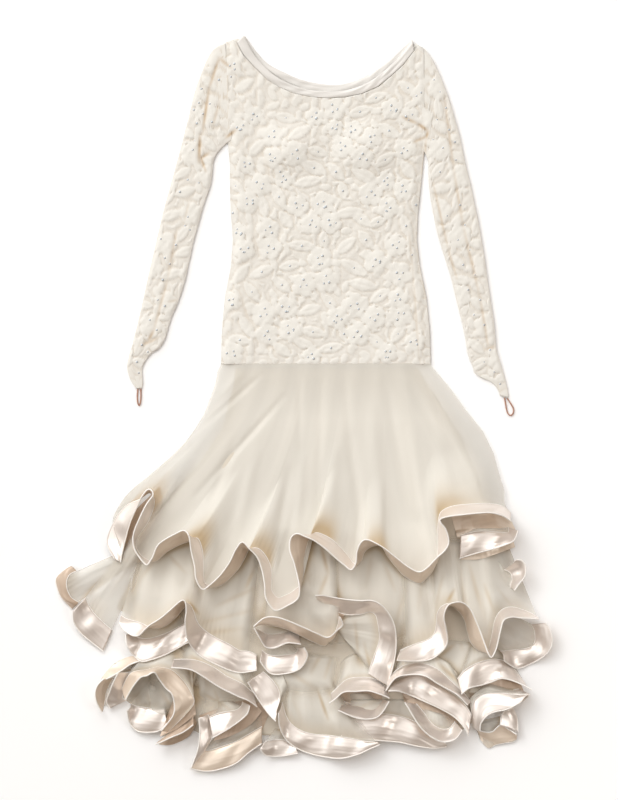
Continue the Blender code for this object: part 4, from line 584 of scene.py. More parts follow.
# Creases of the upper skirt: start, end, depth in mm, half width in pixels
SKIRT_CREASES = (
    (262, 374, 200, 430, 1.3, 3.0), (283, 398, 197, 495, 1.6, 3.5), (290, 470, 277, 538, 2.0, 5.0),
    (243, 372, 214, 402, -1.0, 4.0), (236, 440, 205, 520, 1.6, 5.0), (256, 455, 236, 535, -1.8, 6.0),
    (322, 380, 318, 520, 1.0, 5.0), (345, 372, 352, 470, 0.9, 5.0), (352, 440, 362, 530, 1.8, 6.0),
    (335, 450, 330, 520, -1.5, 6.0), (384, 372, 412, 520, 1.2, 5.5), (404, 430, 428, 560, 1.8, 6.0),
    (372, 410, 382, 535, -1.6, 7.0), (300, 376, 300, 450, 0.8, 4.0), (421, 372, 470, 480, 1.2, 5.0),
    (452, 420, 488, 500, 1.4, 5.0), (438, 440, 455, 505, -1.4, 6.0), (180, 468, 152, 512, 1.2, 4.0),
    (218, 420, 170, 480, -0.9, 5.0), (303, 460, 296, 535, -1.3, 5.0), (400, 376, 440, 450, -0.8, 5.0),
)


def place(px, py, up=0.0):
    """Point or points of the dress from places in the photo and heights in millimetres."""
    px, py, up = np.broadcast_arrays(px, py, up)
    return np.stack(((px - CENTRE_PX) * PIXEL, (CENTRE_PY - py) * PIXEL, up * MM), axis=-1)


def mix(a, b, share):
    """Value between two others."""
    return a + (b - a) * share


def ease(value):
    """Smooth step from 0 to 1."""
    value = np.clip(value, 0.0, 1.0)
    return value * value * (3.0 - 2.0 * value)


def curve_at(rows, t):
    """Smooth curve through the rows of a table at places counted in rows."""
    rows = np.asarray(rows, float)
    last = len(rows) - 1
    i = np.clip(np.asarray(t).astype(int), 0, last - 1)
    f = (t - i)[:, None]
    a, b, c, d = rows[np.maximum(0, i - 1)], rows[i], rows[i + 1], rows[np.minimum(last, i + 2)]
    return b + 0.5 * f * (c - a + f * (2 * a - 5 * b + 4 * c - d + f * (3 * (b - c) + d - a)))


def spaced(rows, count):
    """Rows at equal steps along the curve that their first two columns draw."""
    fine = np.linspace(0.0, len(rows) - 1.0, (len(rows) - 1) * 12 + 1)
    points = curve_at(rows, fine)[:, :2]
    travelled = np.concatenate(([0.0], np.cumsum(np.linalg.norm(np.diff(points, axis=0), axis=1))))
    return curve_at(rows, np.interp(np.linspace(0.0, travelled[-1], count + 1), travelled, fine))


def length_of(rows, columns=(0, 1)):
    """Length of the curve that the named columns draw, in millimetres."""
    points = spaced(rows, 200)[:, list(columns)]
    return float(np.linalg.norm(np.diff(points, axis=0), axis=1).sum()) * PIXEL / MM


def column_of(rows, key, column):
    """Column of a table read along its first column."""
    table = np.asarray(rows, float)
    return np.interp(key, table[:, 0], table[:, column])


def heap_top(px, py):
    """Height of the heap of hidden layers, softened at its edges, in millimetres."""
    inside = np.minimum(px - column_of(HEAP, py, 1), column_of(HEAP, py, 2) - px)
    below = HEAP[-1][0] + 8.0 - py
    return column_of(HEAP, py, 3) * ease((inside + 14.0) / 34.0) * ease(below / 14.0)


def widened(field, reach, take):
    """Field in which each cell takes the highest or the mean of those within reach."""
    for axis in (0, 1):
        shifted = []
        for step in range(-reach, reach + 1):
            shifted.append(np.roll(field, step, axis=axis))
        field = take(shifted, axis=0)
    return field


class Ground:
    """Heights of everything that already lies there, on a grid over the photo, in millimetres."""

    left = 20
    upper = 330

    def __init__(self):
        across, down = np.meshgrid(np.arange(self.left, 610), np.arange(self.upper, 810))
        self.top = heap_top(across.astype(float), down.astype(float))

    def smooth(self, reach):
        """Soft cover that nowhere dips under what lies there, with its reach in pixels."""
        high = widened(self.top, reach, np.max)
        half = max(1, reach // 2)
        return widened(widened(high, half, np.mean), half, np.mean)

    def at(self, field, px, py):
        """Height of a field at places between its cells."""
        x = np.clip(px - self.left, 0, field.shape[1] - 1.001)
        y = np.clip(py - self.upper, 0, field.shape[0] - 1.001)
        i, j = x.astype(int), y.astype(int)
        u, v = x - i, y - j
        upper = mix(field[j, i], field[j, i + 1], u)
        lower = mix(field[j + 1, i], field[j + 1, i + 1], u)
        return mix(upper, lower, v)

    def cover(self, grid):
        """Raises the ground to a sheet."""
        for sheet in (grid, 0.5 * (grid[1:] + grid[:-1]), 0.5 * (grid[:, 1:] + grid[:, :-1])):
            i = np.clip((sheet[..., 0] - self.left).round().astype(int), 0, self.top.shape[1] - 1)
            j = np.clip((sheet[..., 1] - self.upper).round().astype(int), 0, self.top.shape[0] - 1)
            np.maximum.at(self.top, (j, i), sheet[..., 2])


def fold_form(across, depth, seed, pitch):
    """Broad soft folds with a few sharper ones between them, about 0 to 1."""
    drift = 0.7 * np.sin(1.7 * depth + seed) + 1.6 * np.sin(across / (pitch * 1.9) + seed)
    broad = 0.5 + 0.5 * np.sin(2.0 * math.pi * across / pitch + seed * 2.3 + drift)
    sharp = np.abs(np.sin(math.pi * across / (pitch * 0.83) + seed * 1.3 + 1.4 * drift))
    fine = 0.5 + 0.5 * np.sin(2.0 * math.pi * across / (pitch * 0.29) + 2.2 * drift + 2.0 * depth)
    share = 0.5 + 0.5 * np.sin(across / (pitch * 1.3) + 2.9 * seed + 0.6 * depth)
    return 0.66 * broad + 0.3 * share * (1.0 - sharp ** 0.6) + 0.12 * fine * (1.0 - share)


def troughs(px, py, creases):
    """Depth of creases charted from start to end, and the painted shade in them."""
    depth = np.zeros_like(px)
    painted_shade = np.zeros_like(px)
    for row in creases:
        ax, ay, bx, by, deep, half = row[:6]
        span = np.array((bx - ax, by - ay))
        share = ((px - ax) * span[0] + (py - ay) * span[1]) / (span @ span)
        held = np.clip(share, 0.0, 1.0)
        far = np.hypot(px - ax - held * span[0], py - ay - held * span[1]) / half
        ends = 0.35 + 0.65 * np.sin(math.pi * held)
        depth -= deep * ends * np.exp(-far * far)
        if len(row) > 6:
            painted_shade = np.maximum(painted_shade, row[6] * ends * np.exp(-2.2 * far * far))
    return depth, painted_shade


class Relief:
    """Puffs of the raised cloth on the points of a sheet."""

    def __init__(self, px, py):
        self.px, self.py = px, py
        self.low, self.high = py.min(axis=1), py.max(axis=1)
        self.height = np.zeros_like(px)

    def near(self, x, y, reach):
        """Points closer to a place than the reach."""
        rows = np.nonzero((self.low < y + reach) & (self.high > y - reach))[0]
        if not len(rows):
            return rows, rows
        first = rows[0]
        some = slice(first, rows[-1] + 1)
        found = np.nonzero(np.hypot(self.px[some] - x, self.py[some] - y) < reach)
        return found[0] + first, found[1]

    def clear(self, x, y, reach):
        """Flattens what lies round a place."""
        self.height[self.near(x, y, reach)] = 0.0

    def puff(self, x, y, length, width, turn, level, pointed=False):
        """Raises a round or pointed puff."""
        near = self.near(x, y, max(length, width))
        across, down = self.px[near] - x, self.py[near] - y
        along = (across * math.cos(turn) + down * math.sin(turn)) / length
        aside = (down * math.cos(turn) - across * math.sin(turn)) / width
        if pointed:
            edge = np.clip(1.0 - along * along, 1e-3, 1.0) ** 0.8
            middle = np.exp(-((aside - 0.15 * along) / 0.13) ** 2)
            groove = 1.0 - 0.5 * middle * ease((0.8 - np.abs(along)) / 0.3)
            form = np.clip(1.0 - (aside / edge) ** 2, 0.0, 1.0) ** 0.5 * edge ** 0.4 * groove
        else:
            form = np.clip(1.0 - along * along - aside * aside, 0.0, 1.0) ** 0.5
        self.height[near] = np.maximum(self.height[near], level * form)


def raised_pattern(px, py, roses, leaves):
    """Puffs of the raised cloth, 0 to 1, and below 0 in the soft grooves round them, which the colour darkens
    as painted shade.
    """
    relief = Relief(px, py)
    across, down = PUFF_STEPS
    for r in range(0, 44):
        for c in range(0, 54):
            x = (c + 0.5 * (r % 2)) * across + 3.4 * math.sin(3.1 * r + 5.7 * c)
            y = r * down + 3.0 * math.sin(6.1 * r + 2.3 * c)
            relief.puff(x, y, 6.4 + math.sin(c + r), 3.7, 1.9 * math.sin(1.3 * r + 2.1 * c), 0.5)
    for x, y, length, width, turn in leaves:
        relief.clear(x, y, 0.85 * length)
    for x, y, length, width, turn in leaves:
        relief.puff(x, y, length, 0.95 * width, turn, 0.7, True)
    for x, y, radius, turn in roses:
        relief.clear(x, y, 1.02 * radius)
        for reach, long, wide, level, shift in ((0.62, 0.56, 0.5, 0.85, 0.0), (0.3, 0.34, 0.26, 0.95, 0.5)):
            for k in range(5):
                angle = (k + shift) * 0.4 * math.pi - turn
                relief.puff(x + reach * radius * math.cos(angle), y + reach * radius * math.sin(angle),
                            long * radius, wide * radius, angle + 0.5 * math.pi, level)
        relief.puff(x, y, 0.16 * radius, 0.16 * radius, 0.0, 0.8)
    around = widened(relief.height, 2, np.mean)
    return np.where(relief.height > 0.12, relief.height, -np.clip(2.2 * around, 0.0, 1.0))


def lattice_motifs():
    """Roses and leaves of the sleeves and the back, in staggered rows."""
    roses, leaves = [], []
    across, down = LATTICE_STEPS
    for r in range(-2, 16):
        for c in range(2, 13):
            x = (c + 0.5 * (r % 2)) * across + 5.0 * math.sin(3.1 * r + 5.7 * c)
            y = r * down + 4.0 * math.sin(6.1 * r + 2.3 * c)
            roses.append((x, y, 11.0, 2.0 * r + c))
            leaves.append((x + 20, y + 8, 12.0, 5.5, 0.6 * math.sin(r + c)))
            leaves.append((x + 17, y - 10, 11.0, 5.0, 1.4 * math.cos(r - c)))
    return roses, leaves


def puckers(px, py):
    """Small uneven waves of the raised cloth, about -1 to 1."""
    result = np.sin(0.55 * px + 0.35 * py + 1.7 * np.sin(0.21 * py + 0.1 * px))
    result = result + np.sin(0.47 * py - 0.6 * px + 1.5 * np.sin(0.19 * px + 2.0))
    return 0.5 * result


def grid_faces(rows, columns, closed=False):
    """Quads of a grid whose points run along its rows."""
    v = np.arange(rows - 1)[:, None]
    u = np.arange(columns if closed else columns - 1)[None, :]
    a = v * columns + u
    b = v * columns + (u + 1) % columns
    return np.stack((a, a + columns, b + columns, b), axis=-1).reshape(-1, 4)


def cloth_lengths(points):
    """Distance across and along a grid of points, in metres."""
    across = np.linalg.norm(np.diff(points, axis=1), axis=2)
    along = np.linalg.norm(np.diff(points, axis=0), axis=2)
    across = np.concatenate((np.zeros((len(points), 1)), np.cumsum(across, axis=1)), axis=1)
    along = np.concatenate((np.zeros((1, points.shape[1])), np.cumsum(along, axis=0)), axis=0)
    return across, along


def new_piece(name, mesh, node_names, materials):
    """Object of the dress that stands for its nodes."""
    made = bpy.data.objects.new(name, mesh)
    bpy.context.scene.collection.objects.link(made)
    for material in materials:
        mesh.materials.append(material)
    mesh.shade_smooth()
    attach(made, "root")
    if node_names:
        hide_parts(*node_names)
    return made


def point_value(mesh, name, values):
    """Number stored at each point of a mesh."""
    layer = mesh.attributes.new(name, "FLOAT", "POINT")
    layer.data.foreach_set("value", np.asarray(values, np.float32).ravel())


def cloth_sheet(name, grid, nodes, slot, materials, wall, rests, held="laid", **stored):
    """Sheet of cloth from rows of places with heights."""
    points = place(grid[..., 0], grid[..., 1], grid[..., 2])
    mesh = bpy.data.meshes.new(name)
    rows, columns = points.shape[:2]
    mesh.from_pydata(points.reshape(-1, 3).tolist(), [], grid_faces(rows, columns).tolist())
    across, along = cloth_lengths(points)
    point_value(mesh, "across", np.broadcast_to(across[rows // 2], (rows, columns)))
    point_value(mesh, "along", along)
    for kind, values in stored.items():
        point_value(mesh, kind, values)
    made = new_piece(name, mesh, nodes, materials)
    if wall:
        shell = made.modifiers.new("cloth thickness", "SOLIDIFY")
        shell.thickness = wall * MM
        shell.offset = -1.0
        if len(materials) > 1:
            shell.material_offset = 1
            shell.material_offset_rim = len(materials) - 1
    return made


def side_lines(py):
    """Left and right edge of the bodice at heights in the photo."""
    return column_of(BODICE_SIDES, py, 1), column_of(BODICE_SIDES, py, 2)


def panel_places(top_line, extra, columns, rows):
    """Places on a bodice panel from its top line down to the waist seam."""
    share = np.linspace(0.0, 1.0, columns)[None, :]
    down = np.linspace(0.0, 1.0, rows)[:, None]
    left, right = side_lines(60.0)
    top = np.interp(mix(left, right, share), *np.asarray(top_line, float).T) + extra
    py = mix(top, WAIST_PY, down)
    left, right = side_lines(py)
    return mix(left, right, share), py


def cup_form(px, py):
    """Soft cups sewn into the front, 0 to 1."""
    height = np.zeros_like(px)
    for x in CUP_PLACES:
        far = np.hypot((px - x) / 37.0, (py - CUP_PY) / 33.0)
        height = np.maximum(height, ease(1.0 - far) ** 0.8)
    return height


def front_height(px, py):
    """Height of the front over the surface, in millimetres, with its raised share and the painted shade of
    its creases.
    """
    left, right = side_lines(py)
    side = np.minimum(px - left, right - px)
    roll = np.maximum(ease(side / EDGE_ROLL), ease((ARMPIT_PY - py) / 14.0))
    calm = ease(side / 4.0) * ease((WAIST_PY - py) / 3.0)
    flowers = raised_pattern(px, py, ROSES, LEAVES)
    crease, painted_shade = troughs(px, py, CREASES)
    rumple = 0.8 * np.sin(0.21 * px + 1.3 * np.sin(0.05 * py) + 0.6) * ease((270.0 - px) / 40.0)
    rumple = rumple + 0.5 * np.sin(0.13 * py + 0.11 * px + 1.2 * np.sin(0.07 * px))
    up = 2.0 * BODICE_WALL + SEAM_GAP + BODICE_INSIDE * roll + CUP_HEIGHT * cup_form(px, py)
    up = up + calm * (RELIEF * flowers + PUCKER * puckers(px, py) + rumple + crease)
    shoulder = np.interp(px, *np.asarray(FRONT_NECK, float).T)
    up = up - 3.0 * (1.0 - ease((py - shoulder) / 8.0)) * (1.0 - ease(side / 13.0)) * (py < ARMPIT_PY)
    return up, flowers, painted_shade


def make_bodice(look):
    """Front and back of the bodice."""
    px, py = panel_places(FRONT_NECK, 0.0, *FRONT_GRID)
    up, flowers, painted_shade = front_height(px, py)
    WORK["front"] = (px, py, up)
    cloth_sheet("dress_front", np.stack((px, py, up), -1), ["bodice_front"], "raised_cloth",
                [look.raised], RAISED_SHELL, rests="bodice_back", tone=painted_shade, depth=flowers)
    px, py = panel_places(BACK_PANEL_TOP, BACK_BAND_WIDTH, *BACK_GRID)
    flowers = raised_pattern(px, py, *lattice_motifs())
    up = BODICE_WALL - 0.4 * (1.0 - flowers)
    cloth_sheet("dress_back", np.stack((px, py, up), -1), ["bodice_back"], "raised_cloth",
                [look.raised], RAISED_SHELL, rests="floor", depth=flowers)


def binding(name, upper, seam_line, ends, gap, bottom, height, node, look):
    """Satin binding from its top line to the seam on the panel, rounded and a little wrinkled."""
    count = BINDING_STEPS
    left, right = ends
    first = spaced(upper, count)
    seam = np.asarray(seam_line, float)
    across = np.linspace(left, right, count + 1)
    down = np.interp(across, seam[:, 0], seam[:, 1]) + gap
    lengths = np.concatenate(([0.0], np.cumsum(np.hypot(np.diff(across), np.diff(down)))))
    across = np.interp(np.linspace(0, lengths[-1], count + 1), lengths, across)
    down = np.interp(across, seam[:, 0], seam[:, 1]) + gap - 0.2
    turn = np.linspace(0.0, math.pi, 12)[:, None]
    share = 0.5 - 0.5 * np.cos(turn)
    run = np.arange(count + 1)[None, :]
    ripple = 0.14 * np.sin(run * 0.28 + 2.0 * np.sin(run * 0.093) + 2.0 * turn) * np.sin(turn)
    grid = np.stack((mix(first[:, 0], across, share), mix(first[:, 1], down, share),
                     bottom + height * (0.12 + 0.88 * np.sin(turn) ** 0.35 + ripple)), -1)
    cloth_sheet(name, grid, [node], "satin", [look.binding], BINDING_SHELL, rests="dress_front")


def make_neck_bands(look):
    """Satin bindings of the front and back neckline."""
    bottom = BODICE_WALL + SEAM_GAP + BODICE_INSIDE
    binding("front_neck_binding", FRONT_BAND_TOP, FRONT_NECK, FRONT_BAND_ENDS, 0.0, bottom, 1.9,
            "neck_band_front", look)
    binding("back_neck_binding", BACK_NECK, BACK_PANEL_TOP, BACK_BAND_ENDS, BACK_BAND_WIDTH, 0.1, 1.4,
            "neck_band_back", look)


def sleeve_places(rows, count, around):
    """Rounded flat tube of a sleeve: places, heights, raised share and the painted shade of its creases."""
    fine = spaced(rows, count)
    turn = np.concatenate((np.linspace(0.0, math.pi, around, endpoint=False),
                           np.linspace(math.pi, 2.0 * math.pi, around // 4, endpoint=False)))[None, :]
    last = len(rows) - 1
    n = np.linspace(0.0, last, count + 1)[:, None]
    height = mix(3.4, 6.0, ease((last - n) / 5.0))
    flat = np.sign(np.cos(turn)) * np.abs(np.cos(turn)) ** 0.85
    share = 0.5 - 0.5 * flat
    top = np.sign(np.sin(turn)) * np.abs(np.sin(turn)) ** 0.55
    under = 4.5 * ease((5.5 - n) / 3.0) * (1.0 if rows[0][0] < CENTRE_PX else -1.0)
    px = mix(fine[:, 0:1], fine[:, 2:3] + under, share)
    py = mix(fine[:, 1:2], fine[:, 3:4], share)
    flowers = raised_pattern(px, py, *lattice_motifs()) * ease((top - 0.5) / 0.3)
    crease, painted_shade = troughs(px, py, CREASES)
    upper = ease(top / 0.8)
    calm = ease(np.minimum(n, last - n) / 2.0)
    up = height * (0.5 + 0.5 * top) + calm * upper * (RELIEF * flowers + PUCKER * puckers(px, py) + crease)
    return px, py, np.maximum(up, 0.0), flowers, painted_shade * upper


def make_sleeves(look):
    """Both sleeves with their hand covers."""
    for side, rows in (("left", LEFT_SLEEVE), ("right", RIGHT_SLEEVE)):
        px, py, up, flowers, painted_shade = sleeve_places(rows, *SLEEVE_GRID)
        WORK[side] = (px, py, up)
        closed = [np.concatenate((part, part[:, :1]), axis=1) for part in (px, py, up, flowers, painted_shade)]
        px, py, up, flowers, painted_shade = closed
        name = "dress_sleeve_" + side
        cloth_sheet(name, np.stack((px, py, up), -1), ["sleeve_" + side], "raised_cloth",
                    [look.raised], SLEEVE_SHELL, rests="floor", tone=painted_shade, depth=flowers)


def tube(points, radius, sides):
    """Points and faces of a cord along a line of points in metres."""
    ahead = np.gradient(points, axis=0)
    ahead /= np.linalg.norm(ahead, axis=1, keepdims=True)
    aside = np.cross(ahead, np.array((0.0, 0.0, 1.0)))
    aside /= np.maximum(np.linalg.norm(aside, axis=1, keepdims=True), 1e-6)
    above = np.cross(aside, ahead)
    turn = np.linspace(0.0, 2.0 * math.pi, sides, endpoint=False)[None, :, None]
    rings = points[:, None] + radius * (np.cos(turn) * aside[:, None] + np.sin(turn) * above[:, None])
    return rings.reshape(-1, 3), grid_faces(len(points), sides, closed=True)


def joined_mesh(name, parts):
    """One mesh from several sets of points and faces."""
    points, faces, start = [], [], 0
    for some, quads in parts:
        points.append(some)
        faces.extend((np.asarray(quads) + start).tolist())
        start += len(some)
    mesh = bpy.data.meshes.new(name)
    mesh.from_pydata(np.concatenate(points).tolist(), [], faces)
    return mesh


def make_finger_loops(look):
    """Elastic finger loops at the points of the hand covers."""
    for side, line in (("left", LEFT_LOOP), ("right", RIGHT_LOOP)):
        fine = spaced(line, LOOP_STEPS)
        turns = np.linspace(0.0, 60.0 * math.pi, len(fine))
        points = place(fine[:, 0], fine[:, 1], 1.5)
        radius = (LOOP_RADIUS + 0.07 * np.sin(turns)) * MM
        rings, faces = tube(points, radius[:, None, None], 12)
        mesh = joined_mesh("elastic_loop_" + side, [(rings, faces)])
        new_piece("elastic_loop_" + side, mesh, ["finger_loop_" + side], [look.elastic])


def gem(x, y, z, size, turn):
    """Points and faces of a crystal with eight sides and a flat table."""
    rings = ((1.0, 0.0), (1.0, 0.18), (0.55, 0.55))
    points = []
    for n, (wide, up) in enumerate(rings):
        for k in range(8):
            angle = turn + (k + 0.5 * n) * math.pi / 4.0
            points.append((x + size * wide * math.cos(angle), y + size * wide * math.sin(angle),
                           z + size * up))
    faces = []
    for n in range(2):
        for k in range(8):
            a, b = n * 8 + k, n * 8 + (k + 1) % 8
            faces.append((a, b, b + 8, a + 8))
    faces += [(16, 17, 18, 19), (16, 19, 20, 21), (16, 21, 22, 23)]
    return np.array(points), faces


def height_over(places, x, y):
    """Height of the nearest point on the upper side of a sheet, in millimetres."""
    px, py, up = places
    far = np.hypot(px - x, py - y) - 0.2 * up
    return float(up.ravel()[far.argmin()])


def make_crystals(look):
    """Crystals in the middle of the roses, on some leaves and on the sleeves."""
    spots = []
    for n, (x, y, radius, turn) in enumerate(ROSES):
        for k in range(3 + n % 2):
            angle = turn * 2.0 + k * 2.1 + 0.3 * math.sin(5.0 * n + k)
            reach = (0.22 + 0.12 * ((n + k) % 3)) * radius
            spots.append((x + reach * math.cos(angle), y + reach * math.sin(angle)))
    spots += [(x, y) for n, (x, y, *_) in enumerate(LEAVES) if n % 3 != 1]
    parts = []
    for sheet, some in (("front", spots), ("left", LEFT_CRYSTALS), ("right", RIGHT_CRYSTALS)):
        for n, (x, y) in enumerate(some):
            left, right = side_lines(y)
            if sheet == "front" and not left + 2.0 < x < right - 2.0:
                continue
            up = height_over(WORK[sheet], x, y)
            size = (CRYSTAL_RADIUS + 0.35 * math.sin(3.7 * n)) * MM
            parts.append(gem(*place(x, y, up - 0.15), size, 0.7 * n))
    mesh = joined_mesh("crystals", parts)
    new_piece("crystals", mesh, [], [look.crystal])
    mesh.shade_flat()


def make_under_layers(look):
    """Rounded heap of the hidden layers, with their edges one above the other."""
    py = np.linspace(HEAP[0][0], HEAP[-1][0], HEAP_ROWS)[:, None]
    left, right, top = (column_of(HEAP, py, n) for n in (1, 2, 3))
    inward, level = np.asarray(HEAP_EDGE, float).T[:, None, :]
    order = np.arange(inward.shape[1])[None, :]
    wander = 1.6 * np.sin(0.16 * py + 1.9 * order) * ease(order / 3.0) * (order < 9)
    crown = np.linspace(0.0, 1.0, 26)[None, 1:-1]
    edge = HEAP_EDGE[-1][0]
    px = np.concatenate((left + inward + wander, mix(left + edge, right - edge, crown),
                         right - inward[:, ::-1] - wander[:, ::-1]), axis=1)
    up = np.concatenate((level * top, top + 0.0 * crown, level[:, ::-1] * top), axis=1)
    points = place(px, py, up)
    count = px.shape[1]
    faces = grid_faces(HEAP_ROWS, count, closed=True)[:, ::-1].tolist()
    faces.append(list(range(count))[::-1])
    faces.append([(HEAP_ROWS - 1) * count + k for k in range(count)])
    mesh = bpy.data.meshes.new("under_layers_cloth")
    mesh.from_pydata(points.reshape(-1, 3).tolist(), [], faces)
    new_piece("under_layers_cloth", mesh, ["under_layers"], [look.lining])


def facing(root, rows):
    """Rows and root turned so that the cloth that they hang from is on the left of the way along them."""
    turning = 0.0
    start = np.mean(root, axis=0)
    for a, b in zip(rows, rows[1:]):
        turning += (b[3] - a[3]) * (start[0] - a[2]) - (b[2] - a[2]) * (start[1] - a[3])
    return (root, rows) if turning > 0.0 else (root[::-1], rows[::-1])


def softened(values, reach):
    """Running mean of a row of values, kept at its ends."""
    padded = np.concatenate((np.full(reach, values[0]), values, np.full(reach, values[-1])))
    return np.convolve(padded, np.full(2 * reach + 1, 1.0 / (2 * reach + 1)), "valid")


def seam_height(lines, ground):
    """Height of the seam of a band, on the ground and lifted as the table says, in millimetres."""
    up = ground.at(ground.smooth(6), lines[:, 2], lines[:, 3]) + SEAM_GAP + CHIFFON_WALL + lines[:, 4]
    return softened(up, 5)


def band_places(lines, seam_up, ground, seed):
    """Satin band of a hem from its seam out to its edge."""
    hx, hy, sx, sy, _, stance = lines.T
    run = np.maximum(1.0, np.hypot(hx - sx, hy - sy))
    width = sizes().band_width / MM
    rise = stance * np.sqrt(np.maximum(0.0, width ** 2 - (run * PIXEL / MM) ** 2))
    low = ground.at(ground.smooth(3), hx, hy) + 2.0 * SEAM_GAP
    hem_up = softened(np.maximum(low, seam_up + rise), 2)
    share = np.linspace(0.0, 1.0, BAND_ROWS)[:, None]
    px, py, up = mix(sx, hx, share), mix(sy, hy, share), mix(seam_up, hem_up, share)
    under = ground.at(ground.smooth(3), px, py) + 2.0 * SEAM_GAP
    up = np.maximum(up, mix(up, under, ease((FLAT_STANCE - stance) / 0.2) * np.sin(math.pi * share)))
    points = place(px, py, up)
    outwards = np.cross(np.gradient(points, axis=0), np.gradient(points, axis=1))
    outwards /= np.maximum(np.linalg.norm(outwards, axis=2, keepdims=True), 1e-12)
    across = cloth_lengths(points)[0][-1] / MM
    bow = -BAND_BOW * stance * np.sin(math.pi * share)
    middle = np.sin(math.pi * (0.06 + 0.88 * share))
    slant = across[None, :] + 16.0 * (share - 0.5)
    high, pitch = BAND_WAVES
    waves = high * (1.0 + np.sin(2.0 * math.pi * slant / pitch + 2.3 * seed + np.sin(slant / 90.0))) * middle
    crown = BAND_CROWN * (1.0 - np.clip(stance, 0.0, 1.0)) * middle
    high, pitch = BAND_CREASES
    creases = high * np.sin(2.0 * math.pi * (slant + 9.0 * share) / pitch + seed) * middle
    points += outwards * ((bow + waves + crown + creases) * MM)[..., None]
    return np.stack((points[..., 0] / PIXEL + CENTRE_PX, CENTRE_PY - points[..., 1] / PIXEL,
                     points[..., 2] / MM), -1)


def add_band(name, node, lines, seam_up, ground, look, seed, edges):
    """Satin band with its folded edge, a thin cord in a brighter colour that paints the highlight along it.
    """
    grid = band_places(lines, seam_up, ground, seed)
    # An inner side that shows takes its own colour, or a darker copy that paints the shade of a deep hollow
    outer = {"inner": look.satin_inside, "deep": look.cavity}.get(
        INNER_SIDE_OUT.get(name.removesuffix("_satin")), look.satin)
    cloth_sheet(name, grid, [node] if node else [], "satin", [outer, look.satin_inside, look.bright_satin],
                SATIN_SHELL, held="gathered", rests="under_layers")
    points = place(grid[..., 0], grid[..., 1], grid[..., 2])
    edges.append(tube(points[-1], HEM_EDGE_RADIUS * MM, 6))
    edges.append(tube(points[0], SEAM_EDGE_RADIUS * MM, 5))
    return grid


def gathers(across, below):
    """Fine gathers over the seam of a band, in millimetres, from the distance above the seam."""
    run = across + 5.0 * np.sin(across / 23.0) + 0.12 * below * np.sin(across / 17.0)
    uneven = 0.6 + 0.4 * np.sin(across / 31.0 + 1.0)
    high, pitch = GATHERS
    return high * uneven * np.sin(2.0 * math.pi * run / pitch) * np.exp(-below / 17.0) * ease(below / 4.0)


def flounce_places(root, lines, seam_up, ground, seed):
    """Chiffon of a flounce from under the layer above to the seam of its band."""
    count = len(lines) - 1
    start = spaced(root, count)
    span = np.hypot(start[:, 0] - lines[:, 2], start[:, 1] - lines[:, 3]).max()
    rows = max(8, int(span * PIXEL / MM / FINE_STEP))
    depth = np.linspace(0.0, 1.0, rows + 1)[:, None]
    px = mix(start[:, 0], lines[:, 2], depth)
    py = mix(start[:, 1], lines[:, 3], depth)
    low = ground.at(ground.smooth(3), px, py)
    high = ground.at(ground.smooth(9), px, py)
    up = mix(low, high, ease(depth / 0.2)) + SEAM_GAP + CHIFFON_WALL + lines[:, 4] * ease((depth - 0.2) / 0.8)
    across = np.linspace(0.0, length_of(lines, (2, 3)), count + 1)[None, :]
    side = ease(np.minimum(across, across[:, ::-1]) / 32.0) * ease(depth / 0.15)
    fold_height, pitch = FLOUNCE_FOLDS
    folds = fold_form(across, depth, seed, pitch)
    up = up + fold_height * folds * np.sin(math.pi * np.clip(depth * 0.85 + 0.08, 0.0, 1.0))
    close = ground.at(ground.smooth(1), px, py) + SEAM_GAP + 0.3 * CHIFFON_WALL
    crease, painted_shade = troughs(px, py, FLOUNCE_CREASES)
    up = np.maximum(close, mix(close, up + crease, side))
    up = mix(up, seam_up, ease((depth - 0.7) / 0.3))
    up = up + side * gathers(across, span * (1.0 - depth) * PIXEL / MM)
    return np.stack((px, py, up), -1), folds * side, 1.0 - side, painted_shade * side


def charted(root, rows, ground):
    """Line that a cloth comes from, lines of its hem at fine steps and height of its seam."""
    root, rows = facing(root, rows)
    lines = spaced(rows, max(12, round(length_of(rows) / FINE_STEP)))
    return root, lines, seam_height(lines, ground)


def gathered_sheet(name, grid, nodes, slot, material, folds, ends, painted_shade):
    """Chiffon or satin of a flounce, fading out at its ends, and kept for the painted shade of its hollows.
    """
    clear = bare(grid)
    made = cloth_sheet(name, grid, nodes, slot, [material], 0.0, held="gathered", rests="under_layers",
                       sheer=clear, folds=folds, fade=ends * (1.0 - clear))
    WORK["laid"].append((made.data, grid, painted_shade))


def add_hem_edges(which, edges, look):
    """Thin edges of the bands of one flounce, in a colour brighter than the satin that paints their
    highlight.
    """
    name = which + "_hem_edges"
    new_piece(name, joined_mesh(name, edges), [], [look.hem_edge_highlight])


def add_strip(name, finish, root, rows, look, seed, edges):
    """Strip that shows between the stretches."""
    ground = WORK["ground"]
    root, lines, seam_up = charted(root, rows, ground)
    if finish == "alone":
        ground.cover(add_band(name + "_satin", None, lines, seam_up, ground, look, seed, edges))
        return
    grid, folds, ends, painted_shade = flounce_places(root, lines, seam_up, ground, seed)
    # The inside finish is a darker copy of the inner side of the satin that paints the shade of a hollow
    slot, material = {"inside": ("satin", look.cavity), "lit": ("satin", look.satin_inside)}.get(
        finish, ("chiffon", look.chiffon))
    if finish == "cloth":
        hem = np.linspace(0.0, 1.0, len(grid))[:, None]
        ends = np.maximum(ends, ease((hem - 0.55) / 0.45))
        close = ground.at(ground.smooth(1), grid[..., 0], grid[..., 1]) + 2.0 * SEAM_GAP
        grid[..., 2] = mix(grid[..., 2], close, ends)
    gathered_sheet(name + "_cloth", grid, [], slot, material, folds, ends, painted_shade)
    if finish == "band":
        add_band(name + "_satin", None, lines, seam_up, ground, look, seed, edges)
    ground.cover(grid)


